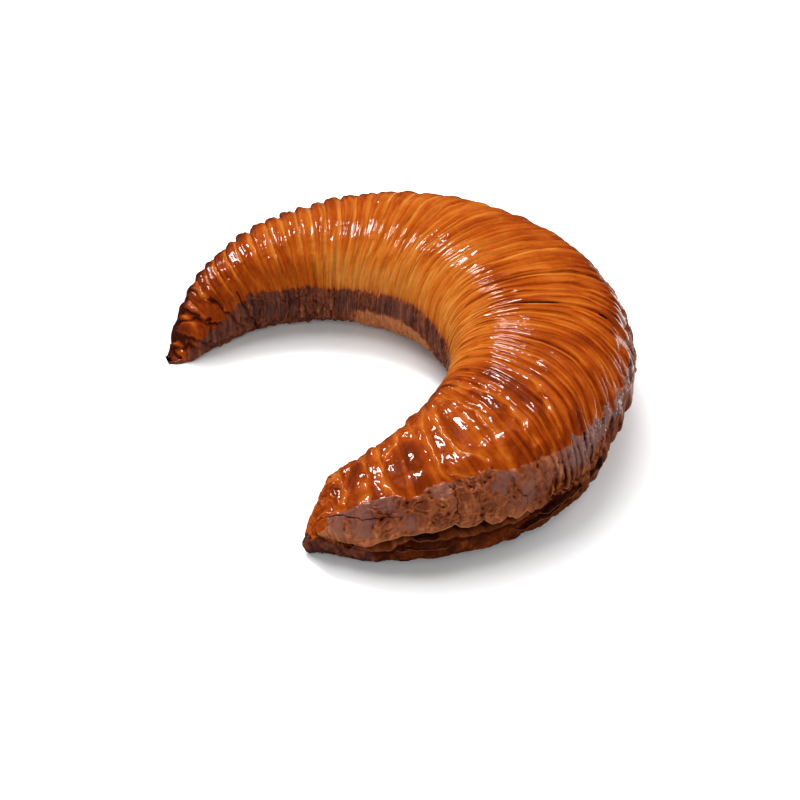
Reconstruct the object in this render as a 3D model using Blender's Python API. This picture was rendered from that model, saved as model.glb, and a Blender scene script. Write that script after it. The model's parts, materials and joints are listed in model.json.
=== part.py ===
"""A glazed crescent croissant, baked and uncut, as one solid body.

Metres, +Z up. The croissant lies on its flat base at z = 0, with its back towards +Y and its two
horns towards -Y: the slim horn at -X and the blunt horn at +X. The origin is under the middle of
its bounding box.

The body is a section carried along a curved middle line. A place on it is given by `along`, the
distance from the slim tip in metres, and by `turn`, the angle round the section: 0 on the outer
side of the crescent, a quarter turn on the crest, a half turn on the inner side, and three quarters
underneath.
"""

import math

import bpy
import numpy as np

# Middle line
LENGTH = 0.2600
BEND = 2.144
END_BEND = 0.157
NIB_BEND = 0.95
NIB_BEND_FROM = 0.016
LINE_STEPS = 2001

# Section at its thickest place, and its fall to each tip
THICKEST = 0.5262
HALF_WIDTH = 0.0283
HEIGHT = 0.0392
SLIM_TIP_HALF_WIDTH = 0.0044
SLIM_TIP_HEIGHT = 0.0066
SLIM_WIDTH_FALL = (2.01, 1.07)
SLIM_HEIGHT_FALL = (1.55, 0.417)
BLUNT_TIP_HALF_WIDTH = 0.0114
BLUNT_TIP_HEIGHT = 0.0118
BLUNT_WIDTH_FALL = (3.40, 0.99)
BLUNT_HEIGHT_FALL = (2.53, 0.702)
WAIST = 0.431
UPPER_ROUND = 2.41
LOWER_ROUND = 2.54
BASE_PRESS = 1.10

# Ends, beyond the two tips of the middle line
SLIM_NIB = 0.0048
SLIM_END_ROUND = 0.0110
SLIM_END_DROOP = 0.0022
BLUNT_LIP = 0.0014
BLUNT_END_ROUND = 0.0050
LEAST_CLOSING = 0.24
FOOT_HOLD = 0.6
FOOT_RANGE = (-0.4, 0.6)
DROOP_FROM = 0.0100

# Ribs of rolled layers
RIB_PLACES = (0.0, 0.30, 0.62, 0.80, 0.94, 1.0)
RIB_WIDTHS = (0.0045, 0.0052, 0.0060, 0.0078, 0.0062, 0.0034)
RIB_DEPTHS = (0.00120, 0.00100, 0.00060, 0.00060, 0.00080, 0.00110)
RIB_UNEVEN = 0.22
RIB_SKEW = 0.62
RIB_SHARPNESS = 2.2
RIB_CREST = 0.25
RIB_DEPTH_SPREAD = (0.65, 1.35)
RIB_WANDER = 0.0011
WANDER_LENGTHS = (0.021, 0.013)
WANDER_CALM_AT_TIPS = 0.012
RIB_SEED = 41
INNER_WALL = (0.35, 0.95)
INNER_WALL_STARTS = (0.05, 0.10)
INNER_WALL_ENDS = (0.16, 0.20)
INNER_WALL_LOSS = 0.55
UNDERNEATH = (0.30, 0.72)
ROWS_IN_A_RIB = (0.0, 0.20, 0.46, 0.76)

# Swellings under the glaze of the blunt arm
SWELL_FROM = 0.196
SWELL_TO = 0.257
SWELL_STEP = 0.0085
SWELL_TURNS = (45.0, 165.0)
SWELL_TURN_STEP = 27.0
SWELL_RADIUS = 0.0042
SWELL_HEIGHT = 0.0012
SWELL_STRAY = 0.4
SWELL_SPREAD = (0.65, 1.3)
SWELL_RISE = 0.012
SWELL_UNDERNEATH = (0.1, 0.5)
SWELL_SEED = 12

# Open seam on the outer side, between the upper wrap and the lower layer
BLUNT_SEAM = (0.176, 0.196)
BLUNT_SEAM_CLOSES = (0.250, 0.263)
BLUNT_SEAM_CLOSED = 0.75
SLIM_SEAM = (0.020, 0.034)
SLIM_SEAM_CLOSES = (0.066, 0.092)
SLIM_SEAM_STRENGTH = 0.55
SEAM_TURN = 7.0
SEAM_GAP_TURN = 4.2
SEAM_DEPTH = 0.0036
LIP_WAVE_TURN = 0.6
LIP_WAVE_LENGTH = 0.0031
LEAST_GAP_TURN = 1.6
DEEP_LIFT_TURN = 0.8
LEDGE_FROM = -0.6
LEDGE_PROUD = 0.0006
LEDGE_DIP = 0.0018
LEDGE_DIP_PLACE = (0.205, 0.020)
WRAP_BACK = 0.0014
WRAP_BACK_TURN = 50.0
SCALLOP_LENGTH = 0.0115
SCALLOP_WAVER = 0.9
SCALLOP_WAVER_LENGTH = 0.009
SCALLOP_TURN = 3.4
SCALLOP_SHARE = 0.6

# Where the section gets thin, relief gets shallower
LEAST_AROUND = 0.002
FULL_RELIEF_AROUND = 0.012

# Columns round the section: below the seam, across it, up to the crest, inner side, underneath
COLUMNS = (6, 2, 9, 7, 8)
QUARTER = math.pi / 2

CRUST_COLOUR = (0.42, 0.105, 0.014, 1.0)
CRUST_ROUGHNESS = 0.32
SHARP_EDGE_DEGREES = 50


def clear_scene():
    """Removes what a new Blender scene holds."""
    for thing in list(bpy.data.objects):
        bpy.data.objects.remove(thing, do_unlink=True)


def ramp(value, low, high):
    """0 below low, 1 above high, and a smooth cubic step between them."""
    share = np.clip((value - low) / (high - low), 0.0, 1.0)
    return share * share * (3.0 - 2.0 * share)


def middle_line(along):
    """Place and heading of the middle line at each distance.

    With t from -1 at the slim tip to 1 at the blunt tip, the heading is -(BEND t + END_BEND t^3),
    less a hook of NIB_BEND radians that grows with the square of the distance inside the last
    NIB_BEND_FROM of the slim horn. The place is the running sum of the heading's unit vector, put
    to zero half way."""
    grid = np.linspace(-SLIM_NIB, LENGTH + SLIM_NIB, LINE_STEPS)
    share = 2.0 * grid / LENGTH - 1.0
    hook = np.clip((NIB_BEND_FROM - grid) / (NIB_BEND_FROM + SLIM_NIB), 0.0, 1.0)
    heading = -(BEND * share + END_BEND * share**3) - NIB_BEND * hook**2
    step = grid[1] - grid[0]
    place = []
    for part in (np.cos(heading), np.sin(heading)):
        total = np.concatenate([[0.0], np.cumsum((part[1:] + part[:-1]) / 2 * step)])
        total -= np.interp(LENGTH / 2, grid, total)
        place.append(np.interp(along, grid, total))
    return place[0], place[1], np.interp(along, grid, heading)


def taper(along, most, slim_least, slim_fall, blunt_least, blunt_fall):
    """A size that is `most` at the thickest place and falls to a least value at each tip.

    With d from 0 at the thickest place to 1 at the tip, it is least + (most - least)(1 - d^a)^b."""
    share = np.clip(along / LENGTH, 0.0, 1.0)
    slim = share < THICKEST
    away = np.where(slim, (THICKEST - share) / THICKEST, (share - THICKEST) / (1.0 - THICKEST))
    least = np.where(slim, slim_least, blunt_least)
    first = np.where(slim, slim_fall[0], blunt_fall[0])
    second = np.where(slim, slim_fall[1], blunt_fall[1])
    return least + (most - least) * np.clip(1.0 - away**first, 0.0, 1.0) ** second


def end_rounding(along):
    """A factor that closes the section at both ends along a quarter ellipse."""
    slim = np.clip(1.0 - (along + SLIM_NIB) / SLIM_END_ROUND, 0.0, 1.0)
    blunt = np.clip(1.0 - (LENGTH + BLUNT_LIP - along) / BLUNT_END_ROUND, 0.0, 1.0)
    return np.sqrt(np.clip((1.0 - slim**2) * (1.0 - blunt**2), LEAST_CLOSING**2, 1.0))


def section(along, turn):
    """Sideways and upward place on the plain section: two half superellipses on one waist.

    The lower half is pressed a little past the ground and cut off flat there."""
    half = taper(along, HALF_WIDTH, SLIM_TIP_HALF_WIDTH, SLIM_WIDTH_FALL,
                 BLUNT_TIP_HALF_WIDTH, BLUNT_WIDTH_FALL)
    high = taper(along, HEIGHT, SLIM_TIP_HEIGHT, SLIM_HEIGHT_FALL,
                 BLUNT_TIP_HEIGHT, BLUNT_HEIGHT_FALL)
    closing = end_rounding(along)
    half = half * closing ** (1.0 - FOOT_HOLD * ramp(-np.sin(turn), *FOOT_RANGE))
    waist = WAIST * high
    upper = np.sin(turn) >= 0.0
    power = np.where(upper, 2.0 / UPPER_ROUND, 2.0 / LOWER_ROUND)
    side = np.sign(np.cos(turn)) * np.abs(np.cos(turn)) ** power
    rise = np.abs(np.sin(turn)) ** power
    up = np.where(upper, waist + (high * closing - waist) * rise, waist - waist * BASE_PRESS * rise)
    return half * side, up, waist


def rib_creases():
    """Distances of the creases between the ribs, and how deep each rib's crease is.

    Each rib is as wide as RIB_WIDTHS says at its place, give or take RIB_UNEVEN of that."""
    draw = np.random.RandomState(RIB_SEED)
    creases = [0.0]
    while creases[-1] < LENGTH:
        width = np.interp(creases[-1] / LENGTH, RIB_PLACES, RIB_WIDTHS)
        creases.append(creases[-1] + width * (1.0 + RIB_UNEVEN * draw.uniform(-1.0, 1.0)))
    creases = np.array(creases) * (LENGTH / creases[-1])
    creases = np.concatenate([[-SLIM_NIB], creases, [LENGTH + BLUNT_LIP]])
    depths = np.interp(creases / LENGTH, RIB_PLACES, RIB_DEPTHS)
    return creases, depths * draw.uniform(*RIB_DEPTH_SPREAD, len(creases))


def rib_relief(along, creases, depths):
    """Height of the ribs over the plain section.

    Inside a rib, f runs from 0 to 1 away from the nearer tip and g = f^RIB_SKEW, so that its
    steep side faces that tip. The height is depth (RIB_CREST - |2g - 1|^RIB_SHARPNESS)."""
    rib = np.clip(np.searchsorted(creases, along, side="right") - 1, 0, len(creases) - 2)
    share = np.clip((along - creases[rib]) / (creases[rib + 1] - creases[rib]), 0.0, 1.0)
    share = np.where(along < THICKEST * LENGTH, share, 1.0 - share)
    skewed = share**RIB_SKEW
    depth = depths[rib] * (1.0 - share) + depths[rib + 1] * share
    return depth * (RIB_CREST - np.abs(2.0 * skewed - 1.0) ** RIB_SHARPNESS)


def rib_hold(along, turn):
    """How much of a rib shows: all of it on the crest and outer side, less on the inner wall of
    the back, and nothing underneath."""
    back = ramp(along, *INNER_WALL_STARTS) * (1.0 - ramp(along, *INNER_WALL_ENDS))
    inner = ramp(-np.cos(turn), *INNER_WALL) * back
    return (1.0 - INNER_WALL_LOSS * inner) * (1.0 - ramp(-np.sin(turn), *UNDERNEATH))


def wander(along, turn):
    """How far a rib strays along the body as it goes round: two slow waves, calm at the tips."""
    first = np.sin(2.0 * turn + along / WANDER_LENGTHS[0])
    second = np.sin(3.0 * turn - along / WANDER_LENGTHS[1] + 1.0)
    tips = ramp(along, 0.0, WANDER_CALM_AT_TIPS) * ramp(LENGTH - along, 0.0, WANDER_CALM_AT_TIPS)
    return RIB_WANDER * (first + 0.7 * second) * tips


def swellings(along, turn, around):
    """Soft round bumps on the blunt arm, on a jittered grid: each is a bell curve of its distance
    along and around the section."""
    draw = np.random.RandomState(SWELL_SEED)
    height = np.zeros_like(along)
    for place in np.arange(SWELL_FROM, SWELL_TO, SWELL_STEP):
        for degrees in np.arange(SWELL_TURNS[0], SWELL_TURNS[1], SWELL_TURN_STEP):
            shift = draw.uniform(-SWELL_STRAY, SWELL_STRAY, 2)
            radius, rise = draw.uniform(*SWELL_SPREAD, 2)
            centre = place + shift[0] * SWELL_STEP
            angle = math.radians(degrees + shift[1] * SWELL_TURN_STEP)
            away = np.hypot(along - centre, (turn - angle) * around) / (SWELL_RADIUS * radius)
            height += SWELL_HEIGHT * rise * np.exp(-(away**2))
    held = 1.0 - ramp(-np.sin(turn), *SWELL_UNDERNEATH)
    return height * held * ramp(along, SWELL_FROM, SWELL_FROM + SWELL_RISE)


def seam_strength(along):
    """0 where the seam is shut and 1 where it is wide open: wide on the blunt arm, and less so on
    the slim one."""
    blunt = ramp(along, *BLUNT_SEAM) * (1.0 - BLUNT_SEAM_CLOSED * ramp(along, *BLUNT_SEAM_CLOSES))
    slim = ramp(along, *SLIM_SEAM) * (1.0 - ramp(along, *SLIM_SEAM_CLOSES))
    return blunt + SLIM_SEAM_STRENGTH * slim


def seam_turns(along):
    """The angles of the lower layer's lip, of the bottom of the gap and of the wrap's edge.

    The wrap hangs in scallops: the arches of a sine whose length wavers slowly."""
    waver = SCALLOP_WAVER * np.sin(along / SCALLOP_WAVER_LENGTH)
    arch = np.abs(np.sin(math.pi * along / SCALLOP_LENGTH + waver))
    lip = SEAM_TURN - SEAM_GAP_TURN + LIP_WAVE_TURN * np.sin(along / LIP_WAVE_LENGTH)
    edge = np.maximum(SEAM_TURN + SCALLOP_TURN * (SCALLOP_SHARE - arch), lip + LEAST_GAP_TURN)
    deep = (lip + edge) / 2 + DEEP_LIFT_TURN
    return np.radians(lip), np.radians(deep), np.radians(edge)


def column_turns(along):
    """The angle of every column of one ring, starting under the body and going up its outer side.

    Between its five fixed angles the columns are evenly spaced."""
    lip, deep, edge = seam_turns(along)
    stops = (-QUARTER, lip, edge, QUARTER, 2 * QUARTER, 3 * QUARTER)
    turns = []
    for first, last, count in zip(stops[:-1], stops[1:], COLUMNS):
        shares = np.arange(count) / count
        turns.extend(first + (last - first) * shares)
    turns[COLUMNS[0] + 1] = deep
    return np.array(turns)


def seam_relief(along, turn):
    """How far the seam moves the surface outwards: a lip a little proud below it, the gap cut in,
    and the wrap above it set back as far round as WRAP_BACK_TURN."""
    lip, deep, edge = seam_turns(along)
    strength = seam_strength(along)
    dip = np.exp(-(((along - LEDGE_DIP_PLACE[0]) / LEDGE_DIP_PLACE[1]) ** 2))
    ledge = LEDGE_PROUD - LEDGE_DIP * dip
    in_gap = np.clip(1.0 - np.abs(turn - deep) / ((edge - lip) / 2), 0.0, 1.0)
    below = ramp(turn, LEDGE_FROM, lip) * (turn <= lip)
    above = (1.0 - ramp(turn, edge, math.radians(WRAP_BACK_TURN))) * (turn >= edge)
    return strength * (ledge * below - SEAM_DEPTH * in_gap - WRAP_BACK * above)


def surface(along, turn):
    """Places on the finished surface for arrays of `along` and `turn` of one shape."""
    creases, depths = rib_creases()
    side, up, waist = section(along, turn)
    around = np.maximum(np.hypot(side, up - waist), LEAST_AROUND)
    ribs = rib_relief(along, creases, depths) * rib_hold(along, turn)
    thin = np.clip(around / FULL_RELIEF_AROUND, 0.0, 1.0)
    relief = (ribs + seam_relief(along, turn)) * thin + swellings(along, turn, around)
    factor = 1.0 + relief / around
    side = side * factor
    up = waist + (up - waist) * factor
    droop = SLIM_END_DROOP * (1.0 - ramp(along, 0.0, DROOP_FROM))
    up = np.maximum(up - droop, 0.0)
    x, y, heading = middle_line(along + wander(along, turn))
    return np.stack([x - np.sin(heading) * side, y + np.cos(heading) * side, up], axis=-1)


def rows_along():
    """Distances of the rings: a few in every rib, its crease always one of them."""
    creases, _ = rib_creases()
    rows = []
    for first, last in zip(creases[:-1], creases[1:]):
        shares = np.array(ROWS_IN_A_RIB)
        if first > THICKEST * LENGTH:
            shares = 1.0 - shares[::-1]
        rows.extend(first + (last - first) * shares)
    rows.extend([-SLIM_NIB, LENGTH + BLUNT_LIP])
    return np.unique(np.round(rows, 6))


def body_mesh():
    """Joins the rings into one closed skin, with a fan of triangles at each tip."""
    rows = rows_along()
    turns = np.array([column_turns(row) for row in rows])
    along = np.repeat(rows[:, None], turns.shape[1], axis=1)
    rings = surface(along, turns)
    ring_count, column_count = along.shape
    points = rings.reshape(-1, 3)
    ends = np.stack([rings[0].mean(axis=0), rings[-1].mean(axis=0)])
    points = np.concatenate([points, ends])
    middle = (points.min(axis=0) + points.max(axis=0)) / 2
    points[:, :2] -= middle[:2]
    index = np.arange(ring_count * column_count).reshape(ring_count, column_count)
    after = np.roll(index, -1, axis=1)
    walls = np.stack([index[:-1], after[:-1], after[1:], index[1:]], axis=-1).reshape(-1, 4)
    slim_end = ring_count * column_count
    faces = walls.tolist()
    faces.extend([slim_end, after[0, j], index[0, j]] for j in range(column_count))
    faces.extend([slim_end + 1, index[-1, j], after[-1, j]] for j in range(column_count))
    mesh = bpy.data.meshes.new("croissant")
    mesh.from_pydata(points.tolist(), [], faces)
    mesh.shade_smooth()
    mesh.set_sharp_from_angle(angle=math.radians(SHARP_EDGE_DEGREES))
    return mesh


def crust_material():
    """Glazed, browned crust."""
    material = bpy.data.materials.new("glazed_crust")
    material.use_nodes = True
    shader = material.node_tree.nodes["Principled BSDF"]
    shader.inputs["Base Color"].default_value = CRUST_COLOUR
    shader.inputs["Roughness"].default_value = CRUST_ROUGHNESS
    shader.inputs["Metallic"].default_value = 0.0
    return material


def build_croissant():
    """The one piece: the whole croissant."""
    croissant = bpy.data.objects.new("croissant", body_mesh())
    croissant.data.materials.append(crust_material())
    bpy.context.scene.collection.objects.link(croissant)


clear_scene()
build_croissant()
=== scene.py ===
"""A glazed crescent croissant on a pale studio floor.

Metres, +Z up. The croissant is a section carried along a curved middle line. A place on its crust
is given by `along`, the distance from the slim tip, and by `turn`, the angle round the section: 0 on
the outer side, a quarter turn on the crest, a half turn on the inner side, three quarters
underneath. Columns of the crust run from a quarter turn below the outer side to the same place.

Ribs and pleats wander as they go round, so each place has two distances: `rows` belongs to its ring
of the mesh, and `along` is where that place lies on the body. A layer of noise is written as
(strength, size, seed) for even lumps, and (strength, width, length, seed) for marks drawn out round
the section, without the strength where it has a name of its own. Sizes and lengths are in metres.
"""

import itertools
import json
import math
from types import SimpleNamespace

import bpy
import numpy as np
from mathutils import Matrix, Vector

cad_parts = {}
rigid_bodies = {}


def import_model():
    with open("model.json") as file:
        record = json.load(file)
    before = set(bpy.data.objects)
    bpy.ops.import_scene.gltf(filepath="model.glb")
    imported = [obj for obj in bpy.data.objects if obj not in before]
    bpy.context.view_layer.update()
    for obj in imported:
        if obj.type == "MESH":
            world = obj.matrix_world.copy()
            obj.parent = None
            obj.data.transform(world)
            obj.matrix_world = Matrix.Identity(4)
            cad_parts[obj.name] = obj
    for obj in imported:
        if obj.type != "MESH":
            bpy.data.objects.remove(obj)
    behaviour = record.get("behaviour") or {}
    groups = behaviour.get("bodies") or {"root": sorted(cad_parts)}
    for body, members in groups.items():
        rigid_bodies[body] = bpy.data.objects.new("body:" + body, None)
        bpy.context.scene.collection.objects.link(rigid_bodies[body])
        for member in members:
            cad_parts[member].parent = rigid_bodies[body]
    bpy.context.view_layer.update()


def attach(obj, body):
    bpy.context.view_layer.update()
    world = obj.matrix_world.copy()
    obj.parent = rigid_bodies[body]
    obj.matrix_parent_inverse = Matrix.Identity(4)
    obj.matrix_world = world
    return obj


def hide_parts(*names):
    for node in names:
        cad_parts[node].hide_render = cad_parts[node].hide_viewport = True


QUARTER = math.pi / 2

# Middle line, and where its half-way point lies in the frame
LENGTH = 0.2600
BEND = 2.144
END_BEND = 0.157
NIB_BEND = 0.95
NIB_BEND_FROM = 0.016
LINE_STEPS = 2001
HALF_WAY_POINT = (-0.003186, 0.035315)

# Section at its thickest place, and its fall to each tip
THICKEST = 0.5262
HALF_WIDTH = 0.0283
HEIGHT = 0.0392
SLIM_TIP_HALF_WIDTH = 0.0044
SLIM_TIP_HEIGHT = 0.0066
SLIM_WIDTH_FALL = (2.01, 1.07)
SLIM_HEIGHT_FALL = (1.55, 0.417)
BLUNT_TIP_HALF_WIDTH = 0.0114
BLUNT_TIP_HEIGHT = 0.0118
BLUNT_WIDTH_FALL = (3.40, 0.99)
BLUNT_HEIGHT_FALL = (2.53, 0.702)
WAIST = 0.431
UPPER_ROUND = 2.41
LOWER_ROUND = 2.54
BASE_PRESS = 1.10

# Ends, beyond the two tips of the middle line
SLIM_NIB = 0.0048
SLIM_END_ROUND = 0.0110
SLIM_END_POWER = 0.7
SLIM_END_DROOP = 0.0022
DROOP_FROM = 0.0100
BLUNT_LIP = 0.0014
BLUNT_END_ROUND = 0.0050
LEAST_CLOSING = 0.24
FOOT_HOLD = 0.6
FOOT_RANGE = (-0.4, 0.6)

# Ribs of rolled layers, and the zones where less of them shows
RIB_PLACES = (0.0, 0.30, 0.62, 0.80, 0.94, 1.0)
RIB_WIDTHS = (0.0045, 0.0052, 0.0060, 0.0078, 0.0062, 0.0034)
RIB_DEPTHS = (0.00120, 0.00100, 0.00060, 0.00060, 0.00080, 0.00110)
RIB_UNEVEN = 0.22
RIB_SKEW = 0.62
RIB_SHARPNESS = 2.3
RIB_CREST = 0.25
RIB_DEPTH_SPREAD = (0.65, 1.35)
RIB_SEED = 41
RIB_SWELL = 0.45
RIB_SWELL_NOISE = (7.3, 1.6, 2)
RIB_LEANS_IN = (0.1, 0.9)
INNER_WALL = (0.35, 0.95)
INNER_WALL_STARTS = (0.05, 0.10)
INNER_WALL_ENDS = (0.16, 0.20)
INNER_WALL_LOSS = 0.55
UNDERNEATH = (0.30, 0.72)
RIB_LEAN = 0.35
LOBED_FROM = (0.203, 0.224)
RIB_LOSS_UNDER_LOBES = 0.75

# Sideways sweep of the ribs and pleats, in metres a radian away from the crest
SWEEP_PLACES = (0.0, 0.006, 0.016, 0.040, 0.065, 0.105, 0.128, 0.140, 0.155, 0.168, 0.180, 0.195, 0.210,
                0.235, 0.262)
SWEEPS = (0.0, 0.0, 0.0035, 0.003, 0.004, 0.006, 0.001, 0.001, 0.004, 0.009, 0.011, 0.007, 0.004, 0.002, 0.0)
WANDER = 0.0011
WANDER_LENGTHS = (0.021, 0.013)
WANDER_CALM_AT_TIPS = 0.012

# Pleats between the ribs
PLEAT_PLACES = (0.0, 0.05, 0.20, 0.35, 0.58, 0.68, 0.80, 1.0)
PLEAT_WIDTHS = (0.0028, 0.0026, 0.0023, 0.0021, 0.0021, 0.0024, 0.0025, 0.0022)
PLEAT_DEPTHS = (0.00050, 0.00050, 0.00052, 0.00056, 0.00060, 0.00056, 0.00042, 0.00034)
PLEAT_UNEVEN = 0.55
PLEAT_FULL_WIDTH = 0.0023
PLEAT_SKEW = 0.62
PLEAT_SINK = 0.40
PLEAT_SEEDS = (7, 19)
PLEAT_STRAY = (0.0007, 0.011, 0.014)
PLEAT_WAVER = (0.00025, 0.004, 0.006)
PLEAT_PATCHES = (0.008, 0.020, 9)
PLEAT_FORK = (-0.10, 0.10)

# How a pleat changes as it goes round, as (apart, often) in its noise, and the levels between which
# it comes to show or gets its line. The ridge line is a bell across it, and creases bound it.
PLEAT_FADES = (5.3, 2.8)
PLEAT_SHOWN = (-0.55, 0.35)
PLEAT_TONES = (3.7, 2.0)
PLEAT_LINES = (9.1, 3.6)
PLEAT_LINED = (-0.25, 0.45)
PLEAT_RIDGE = (0.30, 0.15)
PLEAT_CREASE = 0.10

# Open seam on the outer side. The upper wrap hangs in scallops over the lower layer: each row is
# where a notch lies, the angle of the notch, and how far the next scallop hangs below, in degrees.
SCALLOPS = (
    (0.0000, 8.0, 1.0), (0.0100, 8.0, 2.0), (0.0180, 8.5, 3.0), (0.0250, 8.0, 2.5), (0.0340, 7.5, 4.0),
    (0.0410, 8.5, 3.0), (0.0500, 8.0, 4.0), (0.0570, 7.5, 3.0), (0.0660, 8.5, 3.0), (0.0750, 8.0, 2.0),
    (0.0850, 8.0, 0.0), (0.1760, 8.0, 2.0), (0.1840, 7.0, 3.0), (0.1915, 7.0, 5.0), (0.1992, 6.5, 5.0),
    (0.2054, 5.0, 5.0), (0.2114, 1.8, 3.5), (0.2158, 4.0, 5.0), (0.2210, 7.5, 5.0), (0.2274, 11.5, 3.0),
    (0.2335, 9.0, 1.6), (0.2380, 8.5, 1.5), (0.2425, 3.0, 1.0), (0.2455, -1.5, 1.5), (0.2487, 1.5, 1.2),
    (0.2522, 3.5, 1.5), (0.2570, 16.5, 1.0), (0.2620, 22.0, 0.0),
)
LIP_PLACES = (0.000, 0.085, 0.176, 0.188, 0.196, 0.205, 0.212, 0.219, 0.225, 0.231, 0.2365, 0.2390, 0.2410,
              0.2440, 0.2480, 0.2520, 0.2570, 0.262)
LIP_TURNS = (3.0, 3.5, 4.0, 1.0, -1.0, -3.5, -6.5, -4.0, -1.0, 1.0, 3.5, 2.0, -5.0, -5.0, -2.0, 1.0, 13.5,
             19.5)
EDGE_RIPPLE = (0.35, 0.00037, 0.0013)
LIP_RIPPLE = (1.2, 0.0011, 0.0047)
LIP_FRAY = (0.5, 0.0005)
SCALLOP_POWER = 0.7
SEAM_MIDDLE = 6.0
LEAST_GAP_TURN = 1.2
SEAM_STARTS = (0.176, 0.184)
SEAM_THIN = 0.30
SEAM_OPENS = (0.195, 0.204)
SEAM_NARROWS = (0.240, 0.248)
SEAM_SHUTS = (0.2555, 0.2585)
SEAM_NARROW = 0.70
HIDDEN_SEAM = (0.020, 0.034)
HIDDEN_SEAM_CLOSES = (0.066, 0.092)
HIDDEN_SEAM_STRENGTH = 0.55
SEAM_DEPTH = 0.0056
SEAM_BLUNTNESS = 5
SEAM_DEEPENS = 1.3
LEDGE_FROM = -0.6
LEDGE_PROUD = 0.0002
LEDGE_DIP = 0.0022
LEDGE_DIP_PLACE = (0.205, 0.020)
WRAP_BACK = 0.0008
WRAP_BACK_TURN = 50.0

# Where the glaze ends, in degrees, on the outer side and on the inner side
OUTER_PLACES = (0.0, 0.012, 0.030, 0.150, 0.158, 0.167, 0.175, 0.182, 0.188, 0.194, 0.201, 0.209, 0.214,
                0.217, 0.222, 0.228, 0.232, 0.2355, 0.239, 0.2455, 0.2496, 0.2540, 0.2550, 0.2562, 0.2580,
                0.262)
OUTER_TURNS = (-35.0, 0.0, 22.0, 24.0, 26.0, 29.0, 29.0, 29.0, 31.0, 35.0, 36.0, 42.0, 44.0, 51.0,
               52.0, 57.5, 52.0, 48.5, 58.0, 57.0, 50.0, 43.0, 27.0, 14.0, -2.0, -8.0)
INNER_PLACES = (0.0, 0.0066, 0.0121, 0.0191, 0.0263, 0.0332, 0.0436, 0.054, 0.080, 0.105, 0.137, 0.200,
                0.240, 0.262)
INNER_TURNS = (172.0, 175.0, 170.0, 160.0, 160.0, 166.0, 169.0, 172.0, 172.0, 171.0, 175.0, 168.0, 150.0,
               140.0)

# Upper border of the pale stripe low on the inner wall, in degrees
STRIPE_PLACES = (0.066, 0.096, 0.110, 0.122)
STRIPE_TURNS = (188.0, 188.0, 191.0, 198.0)

# Where the section gets thin, relief gets shallower
LEAST_AROUND = 0.002
FULL_RELIEF_AROUND = 0.009
DEEPEST_RELIEF = 0.5

# Fineness of the crust: rows along it, and columns below the seam, in it, up to the crest, inner, under
ROW_STEP = 0.000230
TIGHT_ROWS = 14
TIGHT_SPAN = 0.0015
COLUMNS = (44, 12, 112, 108, 36)
COLUMN_SPACING = (0.75, 1.0, 0.92, 1.0, 1.3)

# Radius of the drum on which marks drawn out round the section are wound
DRUM = 0.025

# The crust is made in parts, each up to this distance and closed inside by a dished wall
CRUST_PARTS = (("slim_horn", 0.050), ("slim_arm", 0.103), ("back", 0.156), ("blunt_arm", 0.208),
               ("blunt_horn", LENGTH + BLUNT_LIP))
WALL_DISH = 0.002


def ramp(value, low, high):
    """0 below low, 1 above high, and a smooth cubic step between them."""
    share = np.clip((value - low) / (high - low), 0.0, 1.0)
    return share * share * (3.0 - 2.0 * share)


def bell(value, centre, width):
    """A bell curve: exp(-((value - centre) / width)^2)."""
    return np.exp(-(((value - centre) / width) ** 2))


def unit_gradients():
    """Sixty-four directions for the noise, evenly spread on a sphere by the golden angle."""
    index = np.arange(64) + 0.5
    up = 1.0 - 2.0 * index / 64
    round_ = math.pi * (1.0 + math.sqrt(5.0)) * index
    flat = np.sqrt(1.0 - up * up)
    return np.stack([flat * np.cos(round_), flat * np.sin(round_), up], axis=-1)


GRADIENTS = unit_gradients()


def hashed(first, second, third, seed):
    """A scrambled whole number from 0 to 2^32 - 1 for three whole numbers and a seed."""
    mixed = (first * 73856093 ^ second * 19349663 ^ third * 83492791 ^ seed * 2654435) & 0xFFFFFFFF
    mixed = ((mixed ^ mixed >> 15) * 0x2C1B3C6D) & 0xFFFFFFFF
    mixed = ((mixed ^ mixed >> 12) * 0x297A2D39) & 0xFFFFFFFF
    return mixed ^ mixed >> 15


NOISE_GAIN = 1.6


def noise(x, y, z, seed):
    """Smooth gradient noise, about -1 to 1.

    Every whole cell corner picks a direction from a hash of its numbers. The value is the dot
    products with the eight corners' directions, blended by 6t^5 - 15t^4 + 10t^3."""
    x, y, z = np.broadcast_arrays(x, y, z)
    cell = [np.floor(v).astype(np.int64) for v in (x, y, z)]
    inside = [v - c for v, c in zip((x, y, z), cell)]
    fade = [t * t * t * (t * (t * 6.0 - 15.0) + 10.0) for t in inside]
    total = np.zeros(x.shape)
    for far in itertools.product((0, 1), repeat=3):
        pick = GRADIENTS[hashed(cell[0] + far[0], cell[1] + far[1], cell[2] + far[2], seed) & 63]
        weight = 1.0
        value = 0.0
        for axis in range(3):
            weight = weight * (fade[axis] if far[axis] else 1.0 - fade[axis])
            value = value + pick[..., axis] * (inside[axis] - far[axis])
        total += weight * value
    return total * NOISE_GAIN


def lumps(places, size, seed):
    """Even-grained noise: lumps of about `size` metres, the same in every direction."""
    return noise(places[..., 0] / size, places[..., 1] / size, places[..., 2] / size, seed)


def grain(along, turn, width, length, seed):
    """Noise drawn out round the section: marks `width` wide along the body and `length` long."""
    return noise(along / width, np.cos(turn) * DRUM / length, np.sin(turn) * DRUM / length, seed)


def lumpy(places, *layers):
    """The sum of strength * lumps over layers, each given as (strength, size, seed)."""
    return sum(strength * lumps(places, size, seed) for strength, size, seed in layers)


def streaky(along, turn, *layers):
    """The sum of strength * grain over layers, each given as (strength, width, length, seed)."""
    return sum(strength * grain(along, turn, *marks) for strength, *marks in layers)


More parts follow.
